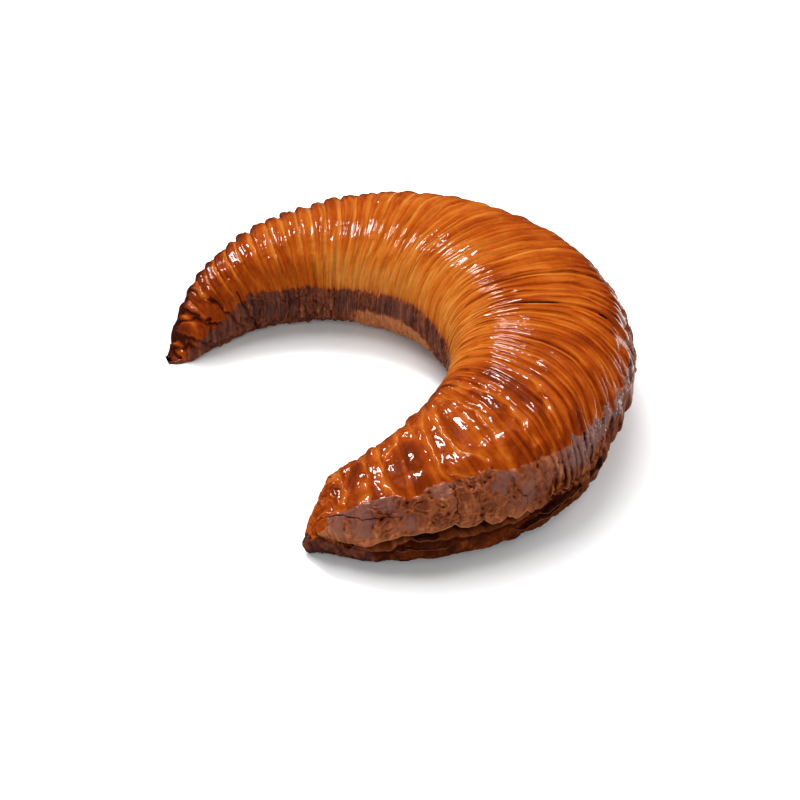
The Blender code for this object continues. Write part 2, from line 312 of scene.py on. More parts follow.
def fading(number, turn, apart, often, seed):
    """About -1 to 1 for each numbered rib or pleat, changing slowly as it goes round.

    Neighbours lie `apart` in the noise, and once round is a circle of radius `often` in it."""
    return noise(number * apart, np.cos(turn) * often, np.sin(turn) * often, seed)


def middle_line(along):
    """Place and heading of the middle line at each distance.

    With t from -1 at the slim tip to 1 at the blunt tip, the heading is -(BEND t + END_BEND t^3),
    less a hook of NIB_BEND radians that grows with the square of the distance inside the last
    NIB_BEND_FROM of the slim horn. The place is the running sum of the heading's unit vector, put
    to HALF_WAY_POINT half way."""
    grid = np.linspace(-SLIM_NIB, LENGTH + SLIM_NIB, LINE_STEPS)
    share = 2.0 * grid / LENGTH - 1.0
    hook = np.clip((NIB_BEND_FROM - grid) / (NIB_BEND_FROM + SLIM_NIB), 0.0, 1.0)
    heading = -(BEND * share + END_BEND * share**3) - NIB_BEND * hook**2
    step = grid[1] - grid[0]
    place = []
    for part, half_way in zip((np.cos(heading), np.sin(heading)), HALF_WAY_POINT):
        total = np.concatenate([[0.0], np.cumsum((part[1:] + part[:-1]) / 2 * step)])
        total += half_way - np.interp(LENGTH / 2, grid, total)
        place.append(np.interp(along, grid, total))
    return place[0], place[1], np.interp(along, grid, heading)


def taper(along, most, slim_least, slim_fall, blunt_least, blunt_fall):
    """A size that is `most` at the thickest place and falls to a least value at each tip.

    With d from 0 at the thickest place to 1 at the tip, it is least + (most - least)(1 - d^a)^b."""
    share = np.clip(along / LENGTH, 0.0, 1.0)
    slim = share < THICKEST
    away = np.where(slim, (THICKEST - share) / THICKEST, (share - THICKEST) / (1.0 - THICKEST))
    least = np.where(slim, slim_least, blunt_least)
    first = np.where(slim, slim_fall[0], blunt_fall[0])
    second = np.where(slim, slim_fall[1], blunt_fall[1])
    return least + (most - least) * np.clip(1.0 - away**first, 0.0, 1.0) ** second


def end_rounding(along):
    """A factor that closes the section at both ends.

    With s from 0 where the rounding starts to 1 at the end, it is (1 - s^2)^SLIM_END_POWER at the
    slim end and a quarter ellipse, (1 - s^2)^0.5, at the blunt one."""
    slim = np.clip(1.0 - (along + SLIM_NIB) / SLIM_END_ROUND, 0.0, 1.0)
    blunt = np.clip(1.0 - (LENGTH + BLUNT_LIP - along) / BLUNT_END_ROUND, 0.0, 1.0)
    return np.clip((1.0 - slim**2) ** SLIM_END_POWER * np.sqrt(1.0 - blunt**2), LEAST_CLOSING, 1.0)


def section(along, turn):
    """Sideways and upward place on the plain section: two half superellipses on one waist.

    The lower half is pressed a little past the ground and cut off flat there."""
    half = taper(along, HALF_WIDTH, SLIM_TIP_HALF_WIDTH, SLIM_WIDTH_FALL,
                 BLUNT_TIP_HALF_WIDTH, BLUNT_WIDTH_FALL)
    high = taper(along, HEIGHT, SLIM_TIP_HEIGHT, SLIM_HEIGHT_FALL,
                 BLUNT_TIP_HEIGHT, BLUNT_HEIGHT_FALL)
    closing = end_rounding(along)
    half = half * closing ** (1.0 - FOOT_HOLD * ramp(-np.sin(turn), *FOOT_RANGE))
    waist = WAIST * high
    upper = np.sin(turn) >= 0.0
    power = np.where(upper, 2.0 / UPPER_ROUND, 2.0 / LOWER_ROUND)
    side = np.sign(np.cos(turn)) * np.abs(np.cos(turn)) ** power
    rise = np.abs(np.sin(turn)) ** power
    up = np.where(upper, waist + (high * closing - waist) * rise, waist - waist * BASE_PRESS * rise)
    return half * side, up, waist


def uneven_steps(places, widths, uneven, draw):
    """Distances from 0 to LENGTH whose spacing follows `widths` at `places`, give or take."""
    found = [0.0]
    while found[-1] < LENGTH:
        width = np.interp(found[-1] / LENGTH, places, widths)
        found.append(found[-1] + width * (1.0 + uneven * draw.uniform(-1.0, 1.0)))
    found = np.array(found) * (LENGTH / found[-1])
    return np.concatenate([[-SLIM_NIB], found, [LENGTH + BLUNT_LIP]])


def share_of_step(along, steps):
    """Which step a distance is in, and how far through it, counted away from the nearer tip."""
    index = np.clip(np.searchsorted(steps, along, side="right") - 1, 0, len(steps) - 2)
    share = np.clip((along - steps[index]) / (steps[index + 1] - steps[index]), 0.0, 1.0)
    return index, np.where(along < THICKEST * LENGTH, share, 1.0 - share)


def ribs(along):
    """Height of the ribs over the plain section, the number of the rib, and the share through it.

    Inside a rib, f runs from 0 to 1 away from the nearer tip and g = f^RIB_SKEW, so that its
    steep side faces that tip. The height is depth (RIB_CREST - |2g - 1|^RIB_SHARPNESS)."""
    draw = np.random.RandomState(RIB_SEED)
    creases = uneven_steps(RIB_PLACES, RIB_WIDTHS, RIB_UNEVEN, draw)
    depths = np.interp(creases / LENGTH, RIB_PLACES, RIB_DEPTHS)
    depths = depths * draw.uniform(*RIB_DEPTH_SPREAD, len(creases))
    rib, share = share_of_step(along, creases)
    low = np.abs(2.0 * share**RIB_SKEW - 1.0) ** RIB_SHARPNESS
    depth = depths[rib] * (1.0 - share) + depths[rib + 1] * share
    return depth * (RIB_CREST - low), rib, share


def rib_hold(along, turn, rib):
    """How much of a rib shows: all of it on the crest and outer side, less on the inner wall of
    the back and under the lobes, and nothing underneath. Each rib swells and fades as it goes round."""
    back = ramp(along, *INNER_WALL_STARTS) * (1.0 - ramp(along, *INNER_WALL_ENDS))
    inner = ramp(-np.cos(turn), *INNER_WALL) * back
    swell = 1.0 + RIB_SWELL * fading(rib, turn, *RIB_SWELL_NOISE)
    lobed = 1.0 - RIB_LOSS_UNDER_LOBES * ramp(along, *LOBED_FROM)
    return (1.0 - INNER_WALL_LOSS * inner) * (1.0 - ramp(-np.sin(turn), *UNDERNEATH)) * swell * lobed


def pleat_set(along, turn, seed):
    """Height, slow tone, ridge line and crease line of one set of pleats.

    A pleat is a rounded step with its steep side towards the nearer tip: 1 - (2g - 1)^2, with
    g = share^PLEAT_SKEW, and lower where it is narrower than PLEAT_FULL_WIDTH. Each one fades in
    and out round the section, and has a tone of its own."""
    steps = uneven_steps(PLEAT_PLACES, PLEAT_WIDTHS, PLEAT_UNEVEN, np.random.RandomState(seed))
    strayed = along + streaky(along, turn, (*PLEAT_STRAY, seed + 1), (*PLEAT_WAVER, seed + 2))
    pleat, share = share_of_step(strayed, steps)
    bulge = 1.0 - (2.0 * share**PLEAT_SKEW - 1.0) ** 2
    full = np.clip((steps[pleat + 1] - steps[pleat]) / PLEAT_FULL_WIDTH, 0.0, 1.0)
    shown = ramp(fading(pleat, turn, *PLEAT_FADES, seed + 3), *PLEAT_SHOWN)
    slow = fading(pleat, turn, *PLEAT_TONES, seed + 4)
    lined = ramp(fading(pleat, turn, *PLEAT_LINES, seed + 5), *PLEAT_LINED)
    ridge = bell(share, *PLEAT_RIDGE) * lined
    crease = (bell(share, 0.0, PLEAT_CREASE) + bell(share, 1.0, PLEAT_CREASE)) * shown
    return np.stack([bulge * shown * full - PLEAT_SINK, slow, ridge, crease])


def pleats(along, turn):
    """The readings of pleat_set for two sets that take turns in long patches, so that pleats
    fork and run out."""
    first, second = (pleat_set(along, turn, seed) for seed in PLEAT_SEEDS)
    share = ramp(grain(along, turn, *PLEAT_PATCHES), *PLEAT_FORK)
    return first * share + second * (1.0 - share)


def wander(along, turn):
    """How far a rib strays along the body as it goes round: two slow waves, calm at the tips, and
    the sweep of the layers away from the crest.

    The waves are sin(2 turn + along / a) and 0.7 sin(3 turn - along / b + 1)."""
    first = np.sin(2.0 * turn + along / WANDER_LENGTHS[0])
    second = np.sin(3.0 * turn - along / WANDER_LENGTHS[1] + 1.0)
    tips = ramp(along, 0.0, WANDER_CALM_AT_TIPS) * ramp(LENGTH - along, 0.0, WANDER_CALM_AT_TIPS)
    sweep = np.interp(along, SWEEP_PLACES, SWEEPS)
    return WANDER * (first + 0.7 * second) * tips + sweep * np.cos(turn)


def seam_strength(along):
    """0 where the seam is shut and 1 where it is wide open: wide on the blunt arm, and less so on
    the slim one."""
    blunt = SEAM_THIN * ramp(along, *SEAM_STARTS) + (1.0 - SEAM_THIN) * ramp(along, *SEAM_OPENS)
    blunt = blunt * (1.0 - SEAM_NARROW * ramp(along, *SEAM_NARROWS))
    blunt = blunt * (1.0 - ramp(along, *SEAM_SHUTS))
    slim = ramp(along, *HIDDEN_SEAM) * (1.0 - ramp(along, *HIDDEN_SEAM_CLOSES))
    return blunt + HIDDEN_SEAM_STRENGTH * slim


def seam_turns(along):
    """The angles of the lower layer's lip and of the wrap's edge.

    Between two notches the edge hangs below the straight line from one to the other by
    hang sin(pi share)^SCALLOP_POWER, and the lip follows LIP_TURNS. A ripple (degrees, a, b) adds
    degrees sin(along / a) sin(along / b), on the lip with its second wave a radian ahead. LIP_FRAY
    adds one fast wave."""
    notches, levels, hangs = np.array(SCALLOPS).T
    index = np.clip(np.searchsorted(notches, along, side="right") - 1, 0, len(notches) - 2)
    share = np.clip((along - notches[index]) / (notches[index + 1] - notches[index]), 0.0, 1.0)
    height, first, second = EDGE_RIPPLE
    edge = np.interp(along, notches, levels) - hangs[index] * np.sin(math.pi * share) ** SCALLOP_POWER
    edge = edge + height * np.sin(along / first) * np.sin(along / second)
    height, first, second = LIP_RIPPLE
    lip = np.interp(along, LIP_PLACES, LIP_TURNS)
    lip = lip + height * np.sin(along / first) * np.sin(along / second + 1.0)
    lip = lip + LIP_FRAY[0] * np.sin(along / LIP_FRAY[1])
    return np.radians(np.minimum(lip, edge - LEAST_GAP_TURN)), np.radians(edge)


def seam_of_rings(rows):
    """The seam's angles for whole rings: where each ring crosses the seam, it has wandered."""
    return seam_turns(rows + wander(rows, math.radians(SEAM_MIDDLE)))


def column_turns(along):
    """The angle of every column of the rings at these distances, as an array of rings by columns.

    Column i of n between two stops is (i / n)^COLUMN_SPACING of the way from one to the other."""
    lip, edge = seam_of_rings(along)
    fixed = [np.full_like(along, turn) for turn in (-QUARTER, QUARTER, 2 * QUARTER, 3 * QUARTER)]
    stops = (fixed[0], lip, edge, fixed[1], fixed[2], fixed[3])
    parts = []
    for first, last, count, power in zip(stops[:-1], stops[1:], COLUMNS, COLUMN_SPACING):
        shares = (np.arange(count) / count) ** power
        parts.append(first[:, None] + (last - first)[:, None] * shares)
    return np.concatenate(parts, axis=1)


def seam_relief(along, turn, lip, edge):
    """How far the seam moves the surface outwards: a lip a little proud below it, the gap cut in
    with a blunt bottom, and the wrap above it set back as far round as WRAP_BACK_TURN.

    With w from -1 on the lip to 1 on the edge, the gap is SEAM_DEPTH (1 - |w|^SEAM_BLUNTNESS) deep."""
    strength = seam_strength(along)
    ledge = LEDGE_PROUD - LEDGE_DIP * bell(along, *LEDGE_DIP_PLACE)
    across = np.abs(turn - (lip + edge) / 2) / ((edge - lip) / 2)
    in_gap = np.clip(1.0 - across**SEAM_BLUNTNESS, 0.0, 1.0) * np.minimum(strength * SEAM_DEEPENS, 1.0)
    below = ramp(turn, LEDGE_FROM, lip) * (turn <= lip)
    above = (1.0 - ramp(turn, edge, math.radians(WRAP_BACK_TURN))) * (turn >= edge)
    return strength * (ledge * below - WRAP_BACK * above) - SEAM_DEPTH * in_gap


# Soft lobes of the blunt arm: millimetres along, degrees round, radius and height in millimetres
LOBES = (
    (231.6, 88, 6.2, 1.2), (246.4, 95, 4.8, 1.0), (246.6, 75, 3.6, 0.7), (255.6, 88, 3.6, 0.7),
    (257.0, 50, 2.4, 0.4), (237.4, 108, 4.2, 0.7), (213.7, 91, 5.2, 1.0), (218.8, 66, 4.2, 0.6),
    (203.5, 90, 4.6, 0.7), (211.5, 64, 4.4, 0.6), (213.7, 112, 4.8, 0.8), (232.1, 64, 4.8, 0.8),
    (252.1, 122, 4.4, 0.9), (232.8, 122, 5.4, 1.0), (220.1, 122, 5.0, 0.8), (204.8, 58, 4.6, 0.5),
    (196.9, 66, 4.4, 0.4), (251.2, 64, 3.4, 0.5), (243.0, 126, 4.6, 0.9), (226.0, 140, 4.8, 0.8),
    (209.0, 134, 5.2, 0.7), (241.2, 60, 3.6, 0.5), (221.0, 88, 3.4, 0.5), (238.5, 84, 3.6, 0.6),
)
LOBE_BLEND = 4
LOBES_SUNK = 0.0004


def lobes(rows, turn, around):
    """Height in metres of the blunt arm's soft lobes.

    Each one is a dome: height (1 - (distance / radius)^2)^1.5. Where domes meet, the height is
    the sum of their LOBE_BLEND-th powers, to the power of 1 / LOBE_BLEND."""
    total = np.zeros_like(rows)
    for place, degrees, radius, height in LOBES:
        away = np.hypot(rows - place / 1000, (turn - math.radians(degrees)) * around)
        dome = height * np.clip(1.0 - (away * 1000 / radius) ** 2, 0.0, 1.0) ** 1.5
        total += dome**LOBE_BLEND
    return total ** (1.0 / LOBE_BLEND) / 1000


# Extra thickness of the slim nib, of the slim horn's root and of the blunt tip's lower lip, in metres.
# A place or a turn is (middle, half width), a span is (from, to), and `facing` is an angle round.
NIB_SWELL = 0.0024
NIB_PLACE = (0.0002, 0.0034)
NIB_FACING = 0.9
NIB_BEHIND = 0.30
ROOT_SWELL = 0.0004
ROOT_SPAN = (0.004, 0.010)
ROOT_FACING = 0.7
LOWER_LIP_SWELL = 0.0012
LOWER_LIP_SPAN = (0.2530, 0.2590)
LOWER_LIP_TURN = (-0.45, 0.40)


def tip_fullness(along, turn):
    """Extra thickness in metres at the two tips.

    The nib swells by a bell along it, fully towards NIB_FACING and by the share NIB_BEHIND behind.
    The root leans towards ROOT_FACING by a cosine. The lower lip is a bell round the blunt tip."""
    front = np.maximum(np.cos(turn - NIB_FACING), 0.0)
    nib = NIB_SWELL * bell(along, *NIB_PLACE) * (NIB_BEHIND + (1.0 - NIB_BEHIND) * front)
    root = ROOT_SWELL * (1.0 - ramp(along, *ROOT_SPAN)) * np.cos(turn - ROOT_FACING)
    lower_lip = LOWER_LIP_SWELL * ramp(along, *LOWER_LIP_SPAN) * bell(turn, *LOWER_LIP_TURN)
    return nib + root + lower_lip


# Lower right side of the crescent, drawn in: how far, its place, and the turns over which it ends
TUCK = 0.0024
TUCK_PLACE = (0.1690, 0.0100)
TUCK_ENDS = (0.05, 0.45)


def tuck(rows, turn):
    """How far the low right side is drawn in, in metres: TUCK by a bell along it."""
    return TUCK * bell(rows, *TUCK_PLACE) * (1.0 - ramp(turn, *TUCK_ENDS))


# The glaze's border: lumps that tear it, and teeth, long fingers and inner strokes along the pleats
BORDER_TEARS = ((0.0011, 0.0065, 21), (0.0007, 0.0024, 22))
BORDER_TEETH = (0.0012, 0.0011, 0.011, 23)
BORDER_FINGERS = (0.0030, 0.0016, 0.016, 24)
FINGERS_START = (0.150, 0.165)
FINGERS_END = (0.195, 0.205)
FINGERS_LOST = 0.8
INNER_STROKES = (0.0011, 0.0010, 0.022, 25)
INNER_TEARS = 0.6
INNER_TEETH = 0.4


def glaze_reach(along, turn, around, places):
    """How far inside the glaze a place is, in metres, and below zero on the bare crust.

    It is the arc to the nearer of two borders, which follow OUTER_TURNS and INNER_TURNS, torn by
    lumps and by marks along the pleats."""
    outer = np.radians(np.interp(along, OUTER_PLACES, OUTER_TURNS))
    inner = np.radians(np.interp(along, INNER_PLACES, INNER_TURNS))
    torn = lumpy(places, *BORDER_TEARS)
    teeth = streaky(along, turn, BORDER_TEETH)
    fingers = streaky(along, turn, BORDER_FINGERS) * ramp(along, *FINGERS_START)
    marks = (teeth + fingers) * (1.0 - FINGERS_LOST * ramp(along, *FINGERS_END))
    outside = (turn - outer) * around + torn + marks
    within = (inner - turn) * around + INNER_TEARS * torn + INNER_TEETH * teeth
    return np.minimum(outside, within + streaky(along, turn, INNER_STROKES))


def outward(places):
    """Unit normals of a grid of rings by columns that closes round."""
    round_ = np.roll(places, -1, axis=1) - np.roll(places, 1, axis=1)
    along = np.gradient(places, axis=0)
    normal = np.cross(round_, along)
    return normal / np.maximum(np.linalg.norm(normal, axis=-1, keepdims=True), 1e-12)


def distance_to_path(along, turn, around, path):
    """Distance in metres to a line of (distance in mm, degrees) points, laid on the surface."""
    nearest = np.full(along.shape, 1.0)
    for (a, b), (c, d) in zip(path[:-1], path[1:]):
        start = (along - a / 1000, (turn - math.radians(b)) * around)
        step = ((c - a) / 1000, math.radians(d - b) * around)
        long = step[0] ** 2 + step[1] ** 2
        share = np.clip((start[0] * step[0] + start[1] * step[1]) / long, 0.0, 1.0)
        nearest = np.minimum(nearest, np.hypot(start[0] - share * step[0], start[1] - share * step[1]))
    return nearest


# Each crack is its path in (millimetres along, degrees round), its half width and its depth in metres
CRACKS = (
    (((225.8, 52), (225.0, 44), (225.2, 32), (224.6, 20), (224.6, 10)), 0.00026, 0.0005),
    (((225.0, 45), (222.6, 44), (220.4, 47)), 0.00022, 0.0004),
    (((225.1, 41), (223.0, 38), (219.6, 36)), 0.00022, 0.0004),
    (((197.6, 28), (198.5, 19.6), (198.5, 12.8), (199, 6.9), (197.4, -3)), 0.00040, 0.0010),
    (((253.7, 43.5), (251.2, 43), (248.4, 41.8), (246.4, 36.8), (244.5, 34.5), (242.7, 33.1), (239.0, 34.2),
      (237.0, 33.0)), 0.00030, 0.0009),
    (((241.8, 40), (239.6, 37.5), (236.8, 38)), 0.00024, 0.0005),
    (((257.0, 12), (256.0, 11.5), (254.6, 7.1), (252.8, 3.2), (250.7, 0.5), (247.5, -1.5)), 0.00034, 0.0009),
    (((211.9, 36.8), (211.9, 24), (209.1, 13.5), (207.7, 17), (205.2, 19)), 0.00026, 0.0005),
    (((209.4, 2), (208.8, 9), (209.2, 14)), 0.00024, 0.0005),
    (((219.0, 7), (219.4, 14)), 0.00024, 0.0005),
    (((213.8, 4), (213.5, 11)), 0.00024, 0.0005),
    (((58.0, 25), (55.0, 20), (54.0, 12)), 0.00030, 0.0006),
    (((120.0, 20), (119.0, 5), (121.0, -12)), 0.00030, 0.0005),
)
CRACK_STRAY = (0.0005, 0.0024, 31)
CRACK_BEND = (0.0007, 0.0017, 32)
CRACK_WIDTH = 0.75
CRACK_UNEVEN = (0.6, 0.0034, 33)

# Hole in the blunt tip: its place in metres and degrees, its radius and its depth
HOLE = (0.2592, 1.4)
HOLE_RADIUS = 0.0009
HOLE_DEPTH = 0.0024

# Small dark nub under the blunt tip: its place in metres and degrees, its radius and its height
NUB = (0.2592, -36.0)
NUB_RADIUS = 0.0010
NUB_HEIGHT = 0.0008

# Golden folds across the blunt arm's glaze: paths of (millimetres along, degrees round)
FOLDS = (
    ((210.5, 132), (209.1, 104), (208.4, 90), (209.1, 76), (210.3, 58), (210.7, 44)),
    ((218.5, 143), (223.1, 111), (224.3, 94), (225.0, 79), (225.4, 63), (225.4, 50)),
    ((243.0, 145), (241.5, 122), (240.2, 95), (239.2, 71), (237.2, 56)),
    ((205.0, 130), (202.7, 109), (199.9, 92), (201.5, 73), (202.4, 52)),
    ((229.0, 150), (231.4, 124), (234.6, 106), (238.3, 99)),
    ((249.0, 145), (245.7, 117), (244.7, 87), (244.1, 60)),
    ((256.0, 125), (253.7, 98), (249.8, 76), (249.8, 52)),
    ((190.5, 81), (193.0, 66), (194.8, 46)),
    ((217.0, 125), (219.0, 103), (219.4, 91), (218.1, 76), (214.6, 61)),
    ((223.4, 62), (221.8, 55), (218.5, 44)),
)
FOLD_HALF_WIDTH = 0.0021
FOLD_UNEVEN = (0.7, 0.0045, 36)
FOLD_STRAY = (0.0011, 0.0050, 34)
FOLD_BEND = (0.0011, 0.0050, 35)
FOLD_DEPTH = 0.0009
FOLD_POWER = 1.5

# Dark creases across the slim tip: paths of (millimetres along, degrees round)
TIP_CREASES = (
    ((-2.1, 20), (-2.1, 59), (-1.4, 84), (-0.8, 93), (0.5, 135), (1.5, 165), (4.1, 193)),
    ((-2.1, 59), (-2.3, 83), (-2.3, 105), (-1.4, 148)),
    ((-0.6, 10), (-0.2, 63), (0.3, 97), (0.9, 122), (2.0, 148), (3.9, 177), (7.7, 202)),
    ((1.2, 20), (1.6, 57), (2.5, 84), (3.5, 98), (4.5, 118), (5.6, 142), (7.6, 163), (10.8, 176)),
    ((2.5, 20), (2.7, 46), (4.3, 61), (4.3, 88), (4.8, 106), (6.3, 138), (7.6, 153)),
    ((9.4, 30), (10.0, 66), (9.5, 98), (10.3, 122), (11.7, 149), (14.4, 172), (19.9, 202)),
    ((18.3, 143), (19.1, 166), (23.0, 189), (26.5, 222)),
)
TIP_CREASE_HALF_WIDTH = 0.0008
TIP_CREASE_STRAY = (0.0003, 0.0030, 37)
TIP_CREASE_DEPTH = 0.0010


def nearness(along, turn, around, paths, width):
    """1 on any of the paths, falling to 0 at `width` metres from it: 1 - distance / width."""
    near = np.zeros_like(along)
    for path in paths:
        near = np.maximum(near, 1.0 - distance_to_path(along, turn, around, path) / width)
    return near


def tip_creases(along, turn, around, places):
    """How near each place is to a dark crease of the slim tip, 0 to 1."""
    strayed = along + lumpy(places, TIP_CREASE_STRAY)
    return nearness(strayed, turn, around, TIP_CREASES, TIP_CREASE_HALF_WIDTH)


def golden_folds(rows, turn, around, places):
    """How near each place is to a golden fold, 0 to 1, with an uneven half width."""
    strayed = rows + lumpy(places, FOLD_STRAY)
    bent = turn + lumpy(places, FOLD_BEND) / around
    return nearness(strayed, bent, around, FOLDS, FOLD_HALF_WIDTH * (1.0 + lumpy(places, FOLD_UNEVEN)))


def cracks(rows, turn, around, places):
    """How deep the cracks cut, and how near each place is to one, 0 to 1."""
    strayed = rows + lumpy(places, CRACK_STRAY)
    bent = turn + lumpy(places, CRACK_BEND) / around
    width_share = CRACK_WIDTH + lumpy(places, CRACK_UNEVEN)
    depth = np.zeros_like(rows)
    near = np.zeros_like(rows)
    for path, width, deep in CRACKS:
        close = nearness(strayed, bent, around, [path], width * width_share)
        depth = np.maximum(depth, deep * close)
        near = np.maximum(near, close)
    return depth, near


def spot(at, place, radius, power):
    """1 in the middle of a round spot and 0 well outside it: exp(-(distance / radius)^power)."""
    away = np.hypot(at.rows - place[0], (at.turns - math.radians(place[1])) * at.around) / radius
    return np.exp(-(away**power))


def crust_grid():
    """Distances of the rings, and the distance and angle of every place on them."""
    first, last = -SLIM_NIB, LENGTH + BLUNT_LIP
    rows = np.arange(first, last, ROW_STEP)
    rows = np.concatenate([rows, np.linspace(last - TIGHT_SPAN, last, TIGHT_ROWS)])
    rows = np.unique(np.round(np.append(rows, [end for _, end in CRUST_PARTS]), 6))
    turns = column_turns(rows)
    return rows, np.repeat(rows[:, None], turns.shape[1], axis=1), turns


def crust_form(rows, turns):
    """Every place of the crust with its ribs, seam and lobes, and what later steps need to know.

    The ribs lean towards the nearer tip. The relief scales the section about its waist, by
    1 + relief / distance from the waist, and never cuts in past DEEPEST_RELIEF of that distance."""
    height, rib, share = ribs(rows)
    hold = rib_hold(rows, turns, rib)
    towards = np.where(rows < THICKEST * LENGTH, -1.0, 1.0)
    in_rib = (share > RIB_LEANS_IN[0]) * (share < RIB_LEANS_IN[1])
    lean = towards * RIB_LEAN * np.abs(height) * in_rib * hold
    along = np.clip(rows + wander(rows, turns) + lean, -SLIM_NIB, LENGTH + BLUNT_LIP)
    side, up, waist = section(along, turns)
    around = np.maximum(np.hypot(side, up - waist), LEAST_AROUND)
    thin = np.clip(around / FULL_RELIEF_AROUND, 0.0, 1.0)
    lip, edge = (angle[:, None] for angle in seam_of_rings(rows[:, 0]))
    lobe = lobes(rows, turns, around)
    relief = (height * hold + seam_relief(along, turns, lip, edge)) * thin - tuck(rows, turns)
    relief = relief + lobe - LOBES_SUNK * ramp(rows, *LOBED_FROM) + tip_fullness(along, turns)
    factor = 1.0 + np.maximum(relief, -DEEPEST_RELIEF * around) / around
    side = side * factor
    up = waist + (up - waist) * factor
    up = np.maximum(up - SLIM_END_DROOP * (1.0 - ramp(along, 0.0, DROOP_FROM)), 0.0)
    x, y, heading = middle_line(along)
    places = np.stack([x - np.sin(heading) * side, y + np.cos(heading) * side, up], axis=-1)
    return SimpleNamespace(rows=rows, along=along, turns=turns, around=around, places=places, rib=rib,
                           share=share, lobe=lobe, lip=lip, edge=edge)


# Bare crust. Curls are contours of one noise at two levels, and of a slower one at zero: a level is
# (height, half width). Pits and slits are where their noise passes two levels.
CURLS = ((1.0, 0.0034, 54), (0.45, 0.0017, 55))
CURL_LEVELS = ((0.26, 0.15), (-0.34, 0.14))
LONG_CURLS = (0.0050, 57)
LONG_CURL_LEVEL = (0.0, 0.08)
LONG_CURL_SHARE = 0.8
WRINKLED_PATCHES = ((1.0, 0.0080, 58), (0.6, 0.0035, 49))
WRINKLED_LEVELS = (-0.40, 0.15)
SMOOTH_SHOULDER = (0.1900, 0.0160)
SHOULDER_SMOOTHNESS = 0.7
LEFT_ON_PLATES = 0.25
PITS = (0.0015, 56)
PIT_LEVELS = (0.42, 0.58)
PITS_LOST_ON_CURLS = 0.8
SLITS = (0.0011, 0.0066, 57)
SLIT_LEVELS = (0.30, 0.56)
CURL_HEIGHT = 0.00056
PIT_DEPTH = 0.00080
SLIT_DEPTH = 0.00030
BARE_SWELLS = (0.00026, 0.0060, 59)
BARE_GRAINS = (0.00016, 0.0018, 48)


def bare_relief(at):
    """Height of the bare crust's own skin, and its pits, slits, pale curls and smooth plates.

    Curls are contour lines of noise, so that they close on themselves. Pits are peaks of finer
    noise. Plates are where a slow noise is low, and there the curls and pits are faint."""
    wavy = lumpy(at.places, *CURLS)
    curl = sum(bell(wavy, *level) for level in CURL_LEVELS)
    curl = curl + LONG_CURL_SHARE * bell(lumps(at.places, *LONG_CURLS), *LONG_CURL_LEVEL)
    wrinkled = ramp(lumpy(at.places, *WRINKLED_PATCHES), *WRINKLED_LEVELS)
    shoulder = bell(at.rows, *SMOOTH_SHOULDER) * (at.turns < QUARTER)
    wrinkled = wrinkled * (1.0 - SHOULDER_SMOOTHNESS * shoulder)
    shown = LEFT_ON_PLATES + (1.0 - LEFT_ON_PLATES) * wrinkled
    curl = np.clip(curl, 0.0, 1.0) * shown
    pit = ramp(lumps(at.places, *PITS), *PIT_LEVELS) * shown * (1.0 - PITS_LOST_ON_CURLS * curl)
    slit = ramp(grain(at.rows, at.turns, *SLITS), *SLIT_LEVELS)
    height = CURL_HEIGHT * curl - PIT_DEPTH * pit + lumpy(at.places, BARE_SWELLS)
    height = height + lumpy(at.places, BARE_GRAINS) * wrinkled
    return height, pit, slit, curl, 1.0 - wrinkled


# Skin of the glaze: threads and blisters, wrinkles, dents, crinkles and billows, heights in metres
THREADS = (0.0013, 0.011, 41)
THREAD_HEIGHT = 0.00010
THREAD_LEVEL = 0.35
THREADS_LOST_BLUNT = 0.8
THREADS_LOST_SLIM = 0.5
SKIN_LUMPS = (0.00004, 0.0024, 42)
PATCHES = (0.0085, 50)
PATCH_LEVELS = (0.0, 0.45)
BLISTERS = (0.0050, 44)
BLISTER_HEIGHT = 0.0003
BLISTER_POWER = 1.4
SMALL_BLISTERS = (0.00022, 0.0022, 45)
WRINKLES = (0.0017, 0.0040, 46)
WRINKLE_HEIGHT = 0.00018
WRINKLE_LEVEL = 0.3
WRINKLES_OFF_PATCHES = 0.3
CRINKLES = (0.00007, 0.0012, 51)
CRINKLES_ON_BACK = 0.4
BILLOWS = (0.00046, 0.0125, 52)
BILLOWS_LOST_INSIDE = 0.6
DENTS = (0.00024, 0.0044, 47)
SMALL_DENTS = (0.00012, 0.0021, 48)


def glaze_skin(at, inner, blunt, slim):
    """Height of the glaze's own skin: blisters to the power BLISTER_POWER and wrinkles on the blunt
    arm, dents on the slim one, and crinkles and slow billows all over."""
    patchy = ramp(lumps(at.places, *PATCHES), *PATCH_LEVELS)
    blisters = BLISTER_HEIGHT * np.maximum(lumps(at.places, *BLISTERS), 0.0) ** BLISTER_POWER
    blisters = blisters + patchy * lumpy(at.places, SMALL_BLISTERS)
    wrinkles = np.abs(grain(at.rows, at.turns, *WRINKLES)) - WRINKLE_LEVEL
    wrinkles = WRINKLE_HEIGHT * wrinkles * (WRINKLES_OFF_PATCHES + (1.0 - WRINKLES_OFF_PATCHES) * patchy)
    crinkled = CRINKLES_ON_BACK + (1.0 - CRINKLES_ON_BACK) * np.maximum(blunt, slim)
    dents = lumpy(at.places, DENTS) + patchy * lumpy(at.places, SMALL_DENTS)
    billows = lumpy(at.places, BILLOWS) * (1.0 - BILLOWS_LOST_INSIDE * inner)
    return (blisters + wrinkles) * blunt + dents * slim + lumpy(at.places, CRINKLES) * crinkled + billows


# Flaky layers below the lip: length and thickness of a flake, its bend, seed, height and level
FLAKE_LENGTH = 0.0075
FLAKE_THICKNESS = 0.0010
FLAKE_BEND = (1.5, 0.010, 61)
FLAKE_SEED = 62
FLAKE_HEIGHT = 0.0013
FLAKE_LEVEL = 0.0004
FLAKES_FROM = (-1.2, -0.8)


